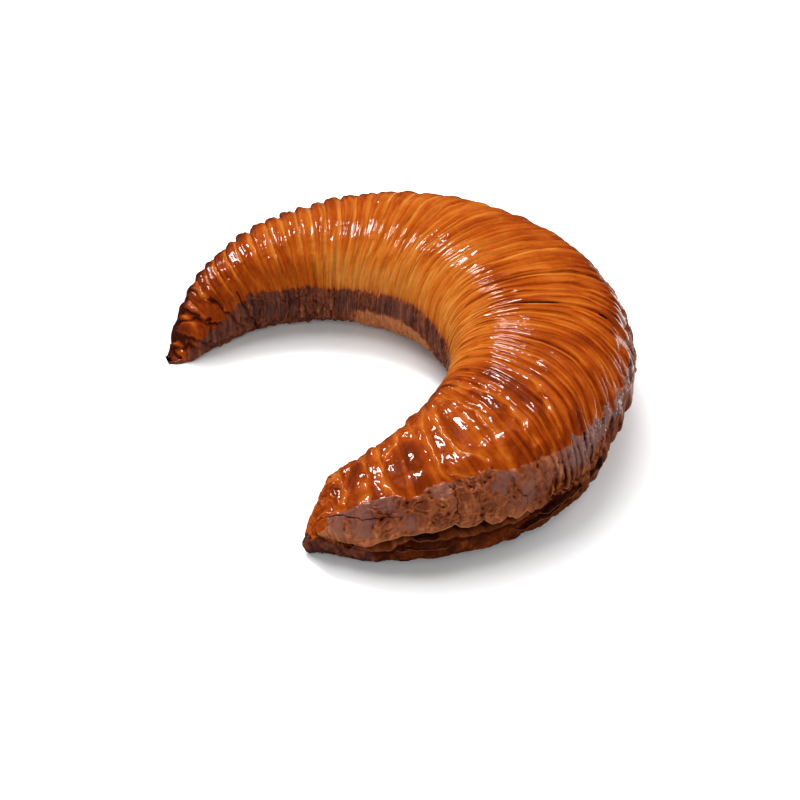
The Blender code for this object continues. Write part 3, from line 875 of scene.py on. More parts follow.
def flaky_layers(at):
    """Height of the layers that show below the lip: noise that is long along it and thin upwards."""
    upward = at.places[..., 2] / FLAKE_THICKNESS + lumpy(at.places, FLAKE_BEND)
    flake = np.abs(noise(at.along / FLAKE_LENGTH, 0.0, upward, FLAKE_SEED))
    below = (at.turns < at.lip) * ramp(at.turns, *FLAKES_FROM)
    return below * seam_strength(at.along) * (FLAKE_HEIGHT * flake - FLAKE_LEVEL)


# Torn snout of the blunt tip: its knobs, their lips and the clefts between them
SNOUT_FROM = (0.2490, 0.2550)
SNOUT_TURNS = (-0.9, -0.4)
KNOBS = (0.0044, 63)
KNOB_HEIGHT = 0.0010
SMALL_KNOBS = (0.0005, 0.0019, 65)
KNOB_LIPS = ((0.12, 0.08), (-0.22, 0.08))
KNOB_LIP_HEIGHT = 0.00040
CLEFTS = (0.0036, 64)
CLEFT_LEVEL = (0.0, 0.07)
CLEFT_DEPTH = 0.00035


def knobbly_snout(at):
    """Height of the knobs on the blunt tip with the nub under it, and where lips, clefts and nub are.

    Lips are contours of the knobs' noise, and clefts are contours at zero of another."""
    snout = ramp(at.rows, *SNOUT_FROM) * ramp(at.turns, *SNOUT_TURNS)
    knob = lumps(at.places, *KNOBS)
    lips = sum(bell(knob, *level) for level in KNOB_LIPS)
    cleft = bell(lumps(at.places, *CLEFTS), *CLEFT_LEVEL) * snout
    nub = spot(at, NUB, NUB_RADIUS, 2)
    height = snout * (KNOB_HEIGHT * knob + lumpy(at.places, SMALL_KNOBS) + KNOB_LIP_HEIGHT * lips)
    return height - CLEFT_DEPTH * cleft + NUB_HEIGHT * nub, lips * snout, cleft, nub


# Where the relief changes, as (from, to) in metres along the crust or radians round it. The fan is
# where the pleats spread low on the right side.
GLAZE_SOFTNESS = 0.0004
INNER_FACING = (0.45, 0.95)
BLUNT_ARM = (0.190, 0.212)
SLIM_ARM = (0.045, 0.070)
PLEATS_LOST_INSIDE = 0.45
PLEATS_LOST_BLUNT = 0.75
FAN_STARTS = (0.150, 0.170)
FAN_ENDS = (0.196, 0.210)
FAN_TURN = (0.20, 0.55)
FAN_GAIN = 1.6
THINNEST_RELIEF = 0.15
PITS_ON_BACK = 0.25
PITS_FULL = (0.170, 0.200)
EDGE_CALM = 0.03
UNDER_LIP_TURNS = (-1.2, -0.9)
UNDER_LIP_FROM = (0.236, 0.244)
OFF_GROUND = (0.00005, 0.0012)


def fine_relief(at):
    """Height of the fine detail over the form, and the marks that the tones need.

    Pleats, threads and the glaze's skin lie on top, the bare crust's skin and its flaky layers
    below, with folds, cracks and the hole cut in. It is shallower where the section is thin, and
    nothing is left of it where the crust meets the ground."""
    glazed = ramp(at.reach, -GLAZE_SOFTNESS, GLAZE_SOFTNESS)
    bare = 1.0 - glazed
    inner = ramp(-np.cos(at.turns), *INNER_FACING)
    blunt = ramp(at.along, *BLUNT_ARM)
    slim = 1.0 - ramp(at.along, *SLIM_ARM)
    fan = ramp(at.rows, *FAN_STARTS) * (1.0 - ramp(at.rows, *FAN_ENDS)) * bell(at.turns, *FAN_TURN)

    height, slow, ridge, valley = pleats(at.rows, at.turns)
    depth = np.interp(at.rows / LENGTH, PLEAT_PLACES, PLEAT_DEPTHS)
    pleated = depth * height * (1.0 - PLEATS_LOST_INSIDE * inner * glazed) * (1.0 + FAN_GAIN * fan)
    pleated = pleated * (1.0 - PLEATS_LOST_BLUNT * blunt * (1.0 - fan))
    thread = THREAD_HEIGHT * (np.abs(grain(at.rows, at.turns, *THREADS)) - THREAD_LEVEL)
    thread = thread * (1.0 - THREADS_LOST_BLUNT * blunt) * (1.0 - THREADS_LOST_SLIM * slim)
    fine = pleated + thread + lumpy(at.places, SKIN_LUMPS) + glazed * glaze_skin(at, inner, blunt, slim)

    rough, pit, slit, curl, plate_and_sheen = bare_relief(at)
    slit = slit * (1.0 - blunt)
    pit = pit * (PITS_ON_BACK + (1.0 - PITS_ON_BACK) * ramp(at.along, *PITS_FULL))
    under_lip = (at.turns < at.lip) * ramp(at.turns, *UNDER_LIP_TURNS) * ramp(at.rows, *UNDER_LIP_FROM)
    shown = ramp(at.turns, at.edge, at.edge + EDGE_CALM) + under_lip
    fine = fine + bare * shown * (rough - SLIT_DEPTH * slit) + flaky_layers(at)

    fold = golden_folds(at.rows, at.turns, at.around, at.places)
    cut, near_cut = cracks(at.rows, at.turns, at.around, at.places)
    hole = spot(at, HOLE, HOLE_RADIUS, 4)
    fine = fine - FOLD_DEPTH * fold**FOLD_POWER - cut - HOLE_DEPTH * hole
    knobs, lips, cleft, nub = knobbly_snout(at)
    crease = tip_creases(at.along, at.turns, at.around, at.places)

    thin = np.clip(at.around / FULL_RELIEF_AROUND, THINNEST_RELIEF, 1.0)
    height = (fine * thin + knobs - TIP_CREASE_DEPTH * crease) * ramp(at.places[..., 2], *OFF_GROUND)
    return height, SimpleNamespace(slow=slow, ridge=ridge, crease=valley, pit=pit * bare * shown,
                                   slit=slit * bare, cut=near_cut, hole=hole, curl=curl * bare, plate_and_sheen=plate_and_sheen,
                                   lips=lips, tip=crease, fold=fold, fan=fan, cleft=cleft, nub=nub)


# Zones of the tones, as (from, to) in metres along the crust or radians round it
SLIM_TONED = (0.045, 0.105)
BLUNT_TONED = (0.185, 0.212)
INNER_TONED = (1.75, 2.75)
INNER_TONED_TO = math.pi + 0.9
OUTER_TONED = (0.7, 1.5)
BACK_STARTS = (0.035, 0.065)
BACK_ENDS = (0.185, 0.210)
BACK_LEFT_AT_END = 0.4
CALM_FROM = (0.200, 0.218)
CALM_BLUNT = 0.75
CALM_SLIM = 0.5
RIB_TONES = ((0.16, 0.35, 0.28), (-0.26, 0.90, 0.13), (0.16, 0.00, 0.06))
RIB_OWN_TONE = 0.10
RIB_TONE_NOISE = (4.7, 0.8, 70)
STRIPE_STARTS = (0.064, 0.072)
STRIPE_ENDS = (0.116, 0.126)
STRIPE_TEARS = (0.0006, 0.004, 77)
STRIPE_SOFTNESS = 0.0010
GLAZE_TONE_SOFTNESS = 0.0003


def tone_zones(at):
    """How far each place belongs to a zone of the crust, 0 to 1, and the tone of its rib.

    calm: 1 where pleats and threads show fully, and less on the lobes and the slim horn. stripe: the
    pale band low on the inner wall. ribbed: bells across the rib, each (strength, share, half width)."""
    zone = SimpleNamespace()
    zone.slim = 1.0 - ramp(at.along, *SLIM_TONED)
    zone.blunt = ramp(at.along, *BLUNT_TONED)
    zone.inner = ramp(at.turns, *INNER_TONED) * (at.turns < INNER_TONED_TO)
    zone.outer = 1.0 - ramp(at.turns, *OUTER_TONED)
    zone.back = ramp(at.along, *BACK_STARTS) * (1.0 - (1.0 - BACK_LEFT_AT_END) * ramp(at.along, *BACK_ENDS))
    zone.calm = (1.0 - CALM_BLUNT * ramp(at.along, *CALM_FROM)) * (1.0 - CALM_SLIM * zone.slim)
    zone.glazed = ramp(at.reach, -GLAZE_TONE_SOFTNESS, GLAZE_TONE_SOFTNESS)
    low = np.radians(np.interp(at.along, STRIPE_PLACES, STRIPE_TURNS))
    below = (at.turns - low) * at.around + lumpy(at.places, STRIPE_TEARS)
    zone.stripe = ramp(at.along, *STRIPE_STARTS) * (1.0 - ramp(at.along, *STRIPE_ENDS))
    zone.stripe = zone.stripe * ramp(below, -STRIPE_SOFTNESS, STRIPE_SOFTNESS)
    zone.ribbed = sum(strength * bell(at.share, *where) for strength, *where in RIB_TONES)
    zone.rib_own = RIB_OWN_TONE * fading(at.rib, at.turns, *RIB_TONE_NOISE)
    return zone


# Tone of the glaze along the crest, and what makes it browner (above 0) or more golden (below 0)
GLAZE_TONE_PLACES = (-0.004, 0.004, 0.012, 0.030, 0.060, 0.100, 0.180, 0.200, 0.225, 0.247, 0.253, 0.258,
                     0.262)
GLAZE_TONES = (0.78, 0.72, 0.62, 0.47, 0.40, 0.44, 0.52, 0.63, 0.64, 0.66, 0.62, 0.50, 0.46)
INNER_TONE = -0.32
OUTER_TONE = 0.08
# Painted shade: the slim arm's outer side is darker
SLIM_OUTER_PAINTED_SHADE = 0.28
BLUNT_INNER_TONE = 0.12
BLUNT_INNER_TURNS = (2.0, 2.5)
BAY_TONE = 0.10
BAY_PLACE = (0.112, 0.025)
PLEAT_TONE = 0.15
RIDGE_TONE = -0.24
# Painted shade: creases between pleats are darker
PLEAT_CREASE_PAINTED_SHADE = 0.20
GLAZE_CLOUDS = ((0.10, 0.011, 71), (0.06, 0.004, 72))
GLAZE_STREAKS = (0.09, 0.0022, 0.013, 73)
GOLDEN_VEINS = (0.0070, 74)
GOLDEN_VEIN_LEVEL = 0.15
GOLDEN_VEIN_TONE = -0.08
LOBE_TONE = 130.0
LIPS_TONE = -0.22
# Painted shade: the snout's clefts are darker
CLEFT_PAINTED_SHADE = 0.22
FOLD_TONE = -0.34
FOLD_TONE_POWER = 1.4
# Painted shade: the slim tip's creases are darker
TIP_CREASE_PAINTED_SHADE = 0.40
TIP_CREASE_SIDE_TONE = -0.16
TIP_CREASE_SIDE = (0.25, 0.20)
BORDER_TONE = 0.30
BORDER_TONE_REACH = 0.0016
RIBS_IN_TONE = 0.40
RIBS_IN_SLIM_TONE = 0.60
RIBS_IN_BLUNT_TONE = -0.10
RIBS_LOST_INSIDE = 0.5

# Patches of the glaze: (middle, half length) in metres, (middle, half width) round, and their tone. The last
# one is paler, partly a golden fold and partly a painted highlight.
PATCH_TONES = (
    ((0.2520, 0.0045), (1.66, 0.40), 0.20),
    ((0.1970, 0.0045), (1.43, 0.40), 0.14),
    ((0.2137, 0.0035), (1.48, 0.35), -0.12),
)

# Patches low on its outer side: (middle, half length), the turns over which they end, and their tone
FLANK_TONES = (
    ((0.148, 0.030), (0.5, 1.1), 0.12),
    ((0.180, 0.012), (0.75, 1.2), -0.12),
)


def glaze_tone(at, marks, zone):
    """Tone of the glaze: golden on the inner wall, browner low on the outer side and painted darker as
    shade on the slim arm's outer side, with brown rib fronts, pale rib backs and ridges, pleat creases,
    snout clefts and tip creases painted darker as shade, golden folds, and patches of its own, one of
    them paler, partly a golden fold and partly a painted highlight."""
    tone = np.interp(at.along, GLAZE_TONE_PLACES, GLAZE_TONES)
    tone = tone + INNER_TONE * zone.inner * zone.back + BAY_TONE * bell(at.rows, *BAY_PLACE) * zone.inner
    # The slim arm's outer side is painted darker as shade
    tone = tone + (OUTER_TONE + SLIM_OUTER_PAINTED_SHADE * zone.slim) * zone.outer
    tone = tone + BLUNT_INNER_TONE * zone.blunt * ramp(at.turns, *BLUNT_INNER_TURNS)
    for place, turn, shift in PATCH_TONES:
        tone = tone + shift * bell(at.rows, *place) * bell(at.turns, *turn)
    for place, ends, shift in FLANK_TONES:
        tone = tone + shift * bell(at.rows, *place) * (1.0 - ramp(at.turns, *ends))
    hold = RIBS_IN_TONE + RIBS_IN_SLIM_TONE * zone.slim + RIBS_IN_BLUNT_TONE * zone.blunt
    tone = tone + (zone.ribbed + zone.rib_own) * hold * (1.0 - RIBS_LOST_INSIDE * zone.inner)
    # Pleat creases are painted darker as shade
    pleated = PLEAT_TONE * marks.slow + RIDGE_TONE * marks.ridge + PLEAT_CREASE_PAINTED_SHADE * marks.crease
    tone = tone + pleated * zone.calm
    tone = tone + lumpy(at.places, *GLAZE_CLOUDS) + streaky(at.rows, at.turns, GLAZE_STREAKS)
    vein = np.clip(1.0 - np.abs(lumps(at.places, *GOLDEN_VEINS)) / GOLDEN_VEIN_LEVEL, 0.0, 1.0)
    tone = tone + GOLDEN_VEIN_TONE * vein * zone.blunt + LOBE_TONE * at.lobe
    # The snout's clefts are painted darker as shade
    tone = tone + LIPS_TONE * marks.lips + CLEFT_PAINTED_SHADE * marks.cleft + FOLD_TONE * marks.fold**FOLD_TONE_POWER
    # The slim tip's creases are painted darker as shade
    tone = tone + TIP_CREASE_PAINTED_SHADE * marks.tip**3 + TIP_CREASE_SIDE_TONE * bell(marks.tip, *TIP_CREASE_SIDE)
    near_border = np.exp(-np.clip(at.reach, 0.0, 1.0) / BORDER_TONE_REACH)
    return tone + BORDER_TONE * zone.inner * near_border * zone.back


# Tone of the bare crust, and what makes it browner (above 0) or paler (below 0)
BARE_TONE = 0.57
BARE_CLOUDS = ((0.16, 0.009, 75), (0.12, 0.003, 76))
BARE_PLEAT_TONE = 0.10
NEAR_CHEEK_TONE = 0.13
NEAR_CHEEK = (0.2390, 0.0090)
NEAR_CHEEK_ABOVE_EDGE = (0.3, 0.6)
BARE_INNER_TONE = 0.22
CURL_TONE = -0.24
# Painted shade: the slim tip's creases are darker on the bare crust too
BARE_TIP_CREASE_PAINTED_SHADE = 0.16
# Painted shade and sheen: pleat creases are darker and their ridges paler
BARE_CREASE_SHADE_AND_SHEEN = 0.16
CREASES_ON_FAN = 0.8
CREASES_INSIDE = 0.9
BARE_RIBS = 0.7
BARE_RIBS_LEVEL = 0.07
EDGE_BAND_TONE = -0.12
EDGE_BAND = (0.0012, 0.0026)
STRIPE_TONE = -0.92
NUB_TONE = 0.35
# Painted shade: the layer under the lip is darker, as shade under the wrap
UNDER_LIP_PAINTED_SHADE = 0.32
FOOT_TONE = 0.25
FOOT_HEIGHT = (0.0010, 0.0040)


def bare_tone(at, marks, zone):
    """Tone of the bare crust: pale curls, creases painted darker as shade and their ridges painted paler
    as sheen, tip creases and the layer under the lip painted darker as shade, ribs on the inner wall, the
    pale stripe there, and a browner foot."""
    tone = BARE_TONE + lumpy(at.places, *BARE_CLOUDS) + BARE_PLEAT_TONE * marks.slow
    cheek = ramp(at.turns, *(at.edge + more for more in NEAR_CHEEK_ABOVE_EDGE))
    tone = tone + NEAR_CHEEK_TONE * bell(at.rows, *NEAR_CHEEK) * cheek
    tone = tone + BARE_INNER_TONE * (np.cos(at.turns) < 0.0)
    # The slim tip's creases are painted darker as shade
    tone = tone + CURL_TONE * marks.curl + BARE_TIP_CREASE_PAINTED_SHADE * marks.tip
    # Pleat creases are painted darker as shade and their ridges paler as sheen
    strength = 1.0 + CREASES_ON_FAN * marks.fan + CREASES_INSIDE * zone.inner
    tone = tone + BARE_CREASE_SHADE_AND_SHEEN * (marks.crease - marks.ridge) * strength
    tone = tone + (BARE_RIBS * zone.ribbed + zone.rib_own - BARE_RIBS_LEVEL) * zone.inner
    above = (at.turns - at.edge) * at.around
    tone = tone + EDGE_BAND_TONE * bell(above, *EDGE_BAND) * (at.turns >= at.edge) * zone.blunt
    # The layer under the lip is painted darker as shade
    under_lip = (at.turns < at.lip) * ramp(at.rows, *UNDER_LIP_FROM)
    tone = tone + STRIPE_TONE * zone.stripe + NUB_TONE * marks.nub + UNDER_LIP_PAINTED_SHADE * under_lip
    foot = (1.0 - ramp(at.places[..., 2], *FOOT_HEIGHT)) * np.maximum(np.cos(at.turns) > 0.0, zone.blunt)
    return tone + FOOT_TONE * foot


# How dark the painted shade is in each kind of hollow, and the painted shade of the open seam and of the
# layer under its lip
PIT_DARK = 0.8
SLIT_DARK = 0.7
SLIT_DARK_INSIDE = 0.4
CUT_DARK = 0.9
TIP_DARK = 0.6
FAN_CREASE_DARK = 0.8
SEAM_DARKENS = 1.4
LIP_SHADE = 0.75
LIP_SHADE_TEARS = (0.0008, 0.0050, 78)
LIP_SHADE_ENDS = (0.0006, 0.0034)


def painted_shade_in_hollows(at, marks, zone, opened):
    """Painted shade from 0 to 1 in the hollows: pits, slits, cracks, the hole, tip creases, fan creases and
    the open seam.

    With w from -1 on the lip to 1 on the edge, the seam's gap is painted 1 - w^4 dark. The layer under the
    lip is painted in shade for a few millimetres."""
    slit_dark = SLIT_DARK + (SLIT_DARK_INSIDE - SLIT_DARK) * zone.inner
    dark = PIT_DARK * marks.pit + slit_dark * marks.slit + CUT_DARK * marks.cut + marks.hole
    fan_crease = marks.crease * marks.fan * (1.0 - zone.glazed)
    dark = np.clip(dark + TIP_DARK * marks.tip**3 + FAN_CREASE_DARK * fan_crease, 0.0, 1.0)
    across = np.abs(at.turns - (at.lip + at.edge) / 2) / ((at.edge - at.lip) / 2)
    gap = np.clip(1.0 - across**4, 0.0, 1.0)
    below_lip = (at.lip - at.turns) * at.around + lumpy(at.places, LIP_SHADE_TEARS)
    shade = (1.0 - ramp(below_lip, *LIP_SHADE_ENDS)) * (at.turns < at.lip)
    return np.maximum(dark, opened * np.maximum(gap, LIP_SHADE * shade))


# Smooth grey plates, their grey partly a painted sheen: all of the right shoulder, painted grey as sheen, a
# share of the rest, an even film on the inner wall
RIGHT_SHOULDER = (0.1760, 0.0190)
RIGHT_ABOVE_EDGE = (0.08, 0.25)
RIGHT_SHOULDER_SHEEN = 0.90
PLATE_ABOVE_EDGE = (0.02, 0.20)
PLATE_SHARE = 0.45
PLATE_LOST_INSIDE = 0.8
INNER_FILM = 0.20
FILM_BELOW_LIP = 0.15


def grey_plates_and_painted_sheen(at, marks, zone):
    """How grey and smooth the bare crust is, 0 to 1, its grey partly a painted sheen: the plates of
    bare_relief, the right shoulder painted grey as sheen, and two even films.
    """
    right = bell(at.rows, *RIGHT_SHOULDER) * ramp(at.turns, *(at.edge + more for more in RIGHT_ABOVE_EDGE))
    plate_and_sheen = marks.plate_and_sheen * ramp(at.turns, *(at.edge + more for more in PLATE_ABOVE_EDGE))
    plate_and_sheen = plate_and_sheen * (PLATE_SHARE + (1.0 - PLATE_SHARE) * right) * (1.0 - PLATE_LOST_INSIDE * zone.inner)
    plate_and_sheen = np.maximum(plate_and_sheen + INNER_FILM * zone.inner * (1.0 - zone.stripe), RIGHT_SHOULDER_SHEEN * right)
    return plate_and_sheen * (at.turns >= at.edge) + FILM_BELOW_LIP * (at.turns < at.lip)


# The pale torn rim of the wrap, painted lighter as a highlight along its edge, the leaf that hangs on it,
# and the soft border of the glaze
RIM = (0.00020, 0.00030)
LEAF_PLACE = (0.1990, 0.0045)
LEAF_ABOVE_EDGE = (0.10, 0.14)
LEAF_TONE = -0.12
LEAF_AS_LOWER = 0.8
LOWER_ENDS = (0.2400, 0.2460)
BORDER_HALF_WIDTH = 0.28
BORDER_SOFT_INSIDE = 1.5
BORDER_SOFT_FROM = (0.040, 0.080)


def crust_tones(at, marks):
    """What the crust's material reads at each place.

    tone: 0 pale gold to 1 nearly black-brown, with painted shade, sheen and a highlight in places. reach:
    half widths of the glaze's border inside the glaze, which are wider on the inner wall. dark: 0 to 1,
    painted shade in pits, slits, cracks, creases, the hole and the open seam. rim: 0 to 1 on a torn pale
    edge, painted lighter as a highlight. lower: 0 to 1 on the layer below the seam, whose colour is painted
    darker as shade. plate_and_sheen: 0 to 1 on smooth grey patches of bare crust, their grey partly a
    painted sheen, and all painted sheen on the right shoulder. calm: 1 where threads show fully, and less
    on the lobes. wound: the place along the body and round a drum."""
    zone = tone_zones(at)
    tone = glaze_tone(at, marks, zone) * zone.glazed + bare_tone(at, marks, zone) * (1.0 - zone.glazed)
    opened = np.minimum(seam_strength(at.along) * SEAM_DARKENS, 1.0)
    in_wrap = at.turns >= at.edge
    rim = bell((at.turns - at.edge) * at.around, *RIM) * in_wrap * opened
    leaf = bell(at.rows, *LEAF_PLACE) * bell(at.turns - at.edge, *LEAF_ABOVE_EDGE) * in_wrap
    lower = (at.turns < at.lip) * seam_strength(at.along) * (1.0 - ramp(at.rows, *LOWER_ENDS))
    border = BORDER_HALF_WIDTH + BORDER_SOFT_INSIDE * zone.inner * ramp(at.along, *BORDER_SOFT_FROM)
    wound = np.stack([at.rows, np.cos(at.turns) * DRUM, np.sin(at.turns) * DRUM], axis=-1)
    return {"tone": tone + LEAF_TONE * leaf, "reach": at.reach * 1000 / border,
            "dark": painted_shade_in_hollows(at, marks, zone, opened), "rim": rim,
            "lower": np.clip(np.maximum(lower, LEAF_AS_LOWER * leaf), 0.0, 1.0),
            "plate_and_sheen": grey_plates_and_painted_sheen(at, marks, zone), "calm": zone.calm, "wound": wound}


# How near to each end the fine relief fades, so that the end's rings stay round
SHUT_SLIM = 0.0012
SHUT_BLUNT = 0.0006


def make_crust():
    """Every ring of the finished crust: places, outward normals, and the material's readings."""
    ring_at, rows, turns = crust_grid()
    at = crust_form(rows, turns)
    at.reach = glaze_reach(at.along, turns, at.around, at.places)
    fine, marks = fine_relief(at)
    shut = bell(at.along, -SLIM_NIB, SHUT_SLIM) + bell(at.along, LENGTH + BLUNT_LIP, SHUT_BLUNT)
    places = at.places + outward(at.places) * (fine * (1.0 - np.clip(shut, 0.0, 1.0)))[..., None]
    places[..., 2] = np.maximum(places[..., 2], 0.0)
    at.places = places
    return ring_at, places, outward(places), crust_tones(at, marks)


def mesh_piece(name, places, faces, material, normals=None, readings=None):
    """Makes one object from arrays: places as rows of three, and faces as rows of four or three."""
    mesh = bpy.data.meshes.new(name)
    flat = np.concatenate([np.ravel(part) for part in faces]).astype(np.int32)
    sizes = np.concatenate([np.full(len(part), part.shape[1]) for part in faces]).astype(np.int32)
    starts = np.concatenate([[0], np.cumsum(sizes)[:-1]]).astype(np.int32)
    mesh.vertices.add(len(places))
    mesh.vertices.foreach_set("co", places.astype(np.float32).ravel())
    mesh.loops.add(len(flat))
    mesh.loops.foreach_set("vertex_index", flat)
    mesh.polygons.add(len(sizes))
    mesh.polygons.foreach_set("loop_start", starts)
    mesh.update(calc_edges=True)
    mesh.shade_smooth()
    for label, values in (readings or {}).items():
        kind, key = ("FLOAT_VECTOR", "vector") if values.ndim == 2 else ("FLOAT", "value")
        layer = mesh.attributes.new(label, kind, "POINT")
        layer.data.foreach_set(key, values.astype(np.float32).ravel())
    if normals is not None:
        mesh.normals_split_custom_set_from_vertices(normals.astype(np.float32))
    mesh.validate()
    mesh.materials.append(material)
    piece = bpy.data.objects.new(name, mesh)
    bpy.context.scene.collection.objects.link(piece)
    return piece


def tube_faces(ring_count, column_count):
    """Faces of a tube of rings, and fans that close its two ends to two added middle points."""
    index = np.arange(ring_count * column_count).reshape(ring_count, column_count)
    after = np.roll(index, -1, axis=1)
    walls = np.stack([index[:-1], after[:-1], after[1:], index[1:]], axis=-1).reshape(-1, 4)
    start = ring_count * column_count
    first = np.stack([np.full(column_count, start), after[0], index[0]], axis=-1)
    last = np.stack([np.full(column_count, start + 1), index[-1], after[-1]], axis=-1)
    return walls, first, last


def with_ends(values):
    """Rows of rings put in one list, with the mean of the first ring and of the last added."""
    flat = values.reshape(-1, *values.shape[2:])
    return np.concatenate([flat, [values[0].mean(axis=0), values[-1].mean(axis=0)]])


def crust_piece(name, crust, first, last, material):
    """One part of the crust, from ring `first` to ring `last`, closed by a dished wall inside it."""
    ring_at, places, normals, readings = crust
    points = with_ends(places[first:last + 1])
    inwards = points[-1] - points[-2]
    inwards = inwards / np.linalg.norm(inwards)
    points[-2] += inwards * WALL_DISH * (first > 0)
    points[-1] -= inwards * WALL_DISH * (last < len(ring_at) - 1)
    facing = with_ends(normals[first:last + 1])
    facing[-2:] = [-inwards, inwards]
    kept = {label: with_ends(values[first:last + 1]) for label, values in readings.items()}
    return mesh_piece(name, points, tube_faces(last + 1 - first, places.shape[1]), material, facing, kept)


# Each torn layer is where it starts and ends, its angle from the lip in degrees, how far it stands out
# and its half thickness in metres, and a seed
TORN_LAYERS = (
    (0.1860, 0.2100, -4.0, 0.0001, 0.00018, 91),
    (0.1990, 0.2160, -9.0, 0.0002, 0.00020, 92),
    (0.2280, 0.2385, 0.4, 0.0000, 0.00022, 93),
    (0.2260, 0.2420, -8.0, 0.0002, 0.00020, 94),
    (0.0240, 0.0800, -3.0, 0.0002, 0.00024, 95),
)
LAYER_RING_STEP = 0.0003
LAYER_WAVE_LENGTHS = (0.0042, 0.0014)
LAYER_TURN_WAVES = (1.6, 0.6)
LAYER_EDGE_WAVES = (0.0008, 0.0005)
LAYER_END = 0.004
LAYER_END_SINK = 0.0030
LAYER_WIDTH = 0.0062
LAYER_CURL = 0.0006
LAYER_SHARES = 7
LAYER_THIN_EDGE = 0.15


def torn_layer(name, first, last, below, proud, thick, seed, material):
    """One thin torn edge of dough by the open seam.

    It is a long blade: its outer edge wavers in and out round the section's outline, `below`
    degrees from the lip, and sinks at both ends. At a share s of the way in, it is LAYER_WIDTH s^2
    inside that edge, with a half thickness of thick (0.15 + 0.85 sqrt(s)). Both edges are closed."""
    rows = np.linspace(first, last, int((last - first) / LAYER_RING_STEP))
    lip, _ = seam_turns(rows)
    wave = noise(rows / LAYER_WAVE_LENGTHS[0], 0.0, seed * 1.7, seed)
    small = noise(rows / LAYER_WAVE_LENGTHS[1], 0.0, seed * 2.3, seed + 20)
    ends = ramp(rows, first, first + LAYER_END) * (1.0 - ramp(rows, last - LAYER_END, last))
    turn = lip + np.radians(below + LAYER_TURN_WAVES[0] * wave + LAYER_TURN_WAVES[1] * small)
    side, up, _ = section(rows, turn)
    edge = side + (proud + LAYER_EDGE_WAVES[0] * wave + LAYER_EDGE_WAVES[1] * small) * ends
    edge = edge - LAYER_END_SINK * (1.0 - ends)
    x, y, heading = (part[:, None] for part in middle_line(rows))
    there = np.linspace(0.0, 1.0, LAYER_SHARES)
    shares = np.concatenate([there, there[::-1][1:-1]])
    faces_up = np.repeat([0.0, 1.0, 0.0, -1.0], [1, LAYER_SHARES - 2, 1, LAYER_SHARES - 2])
    half = thick * (LAYER_THIN_EDGE + (1.0 - LAYER_THIN_EDGE) * np.sqrt(shares)) * faces_up
    out = edge[:, None] - shares**2 * LAYER_WIDTH
    rise = np.maximum(up[:, None] + half + shares * LAYER_CURL * wave[:, None], 0.0)
    places = np.stack([x - np.sin(heading) * out, y + np.cos(heading) * out, rise], axis=-1)
    readings = {"inside": with_ends(np.repeat(shares[None, :], len(rows), axis=0))}
    return mesh_piece(name, with_ends(places), tube_faces(*places.shape[:2]), material, None, readings)


def node(tree, kind, **settings):
    """A new shader node, with its properties and its sockets' constants set."""
    made = tree.nodes.new(kind)
    for key, value in settings.items():
        if key in made.inputs:
            made.inputs[key].default_value = value
        else:
            setattr(made, key, value)
    return made


def colour_ramp(tree, factor, stops):
    """A colour ramp through (position, (r, g, b)) stops, fed by `factor`."""
    made = node(tree, "ShaderNodeValToRGB")
    elements = made.color_ramp.elements
    while len(elements) < len(stops):
        elements.new(0.5)
    for element, (position, colour) in zip(elements, stops):
        element.position = position
        element.color = (*colour, 1.0)
    tree.links.new(factor, made.inputs["Fac"])
    return made.outputs["Color"]


def blend(tree, factor, first, second):
    """Mixes two colours by a factor. A colour is a socket or (r, g, b)."""
    made = node(tree, "ShaderNodeMix", data_type="RGBA")
    tree.links.new(factor, made.inputs[0])
    for socket, colour in zip((made.inputs[6], made.inputs[7]), (first, second)):
        if isinstance(colour, tuple):
            socket.default_value = (*colour, 1.0)
        else:
            tree.links.new(colour, socket)
    return made.outputs[2]


def sum_of(tree, first, second, factor=1.0):
    """first + second * factor, for sockets."""
    made = node(tree, "ShaderNodeMath", operation="MULTIPLY_ADD")
    tree.links.new(second, made.inputs[0])
    made.inputs[1].default_value = factor
    tree.links.new(first, made.inputs[2])
    return made.outputs[0]


def product_of(tree, first, second):
    """first * second, for sockets."""
    made = node(tree, "ShaderNodeMath", operation="MULTIPLY")
    tree.links.new(first, made.inputs[0])
    tree.links.new(second, made.inputs[1])
    return made.outputs[0]


def between(tree, value, low, high, to_low=0.0, to_high=1.0):
    """Maps a socket's value from low..high to to_low..to_high, smoothly and clamped."""
    made = node(tree, "ShaderNodeMapRange", interpolation_type="SMOOTHSTEP")
    tree.links.new(value, made.inputs["Value"])
    for name, number in (("From Min", low), ("From Max", high), ("To Min", to_low), ("To Max", to_high)):
        made.inputs[name].default_value = number
    return made.outputs["Result"]


def between_values(tree, factor, first, second):
    """first (1 - factor) + second factor, for a socket and a number."""
    made = node(tree, "ShaderNodeMix", data_type="FLOAT")
    tree.links.new(factor, made.inputs[0])
    tree.links.new(first, made.inputs[2])
    made.inputs[3].default_value = second
    return made.outputs[0]


def speckle(tree, where, size, detail=2.0, seed=0.0):
    """Noise about zero with grains of `size` metres, or of one size along each axis."""
    sizes = size if isinstance(size, tuple) else (size, size, size)
    scaled = node(tree, "ShaderNodeVectorMath", operation="MULTIPLY")
    tree.links.new(where, scaled.inputs[0])
    scaled.inputs[1].default_value = tuple(1.0 / each for each in sizes)
    made = node(tree, "ShaderNodeTexNoise", noise_dimensions="4D", Scale=1.0, Detail=detail, W=seed)
    tree.links.new(scaled.outputs[0], made.inputs["Vector"])
    centred = node(tree, "ShaderNodeMath", operation="SUBTRACT")
    tree.links.new(made.outputs["Fac"], centred.inputs[0])
    centred.inputs[1].default_value = 0.5
    return centred.outputs[0]


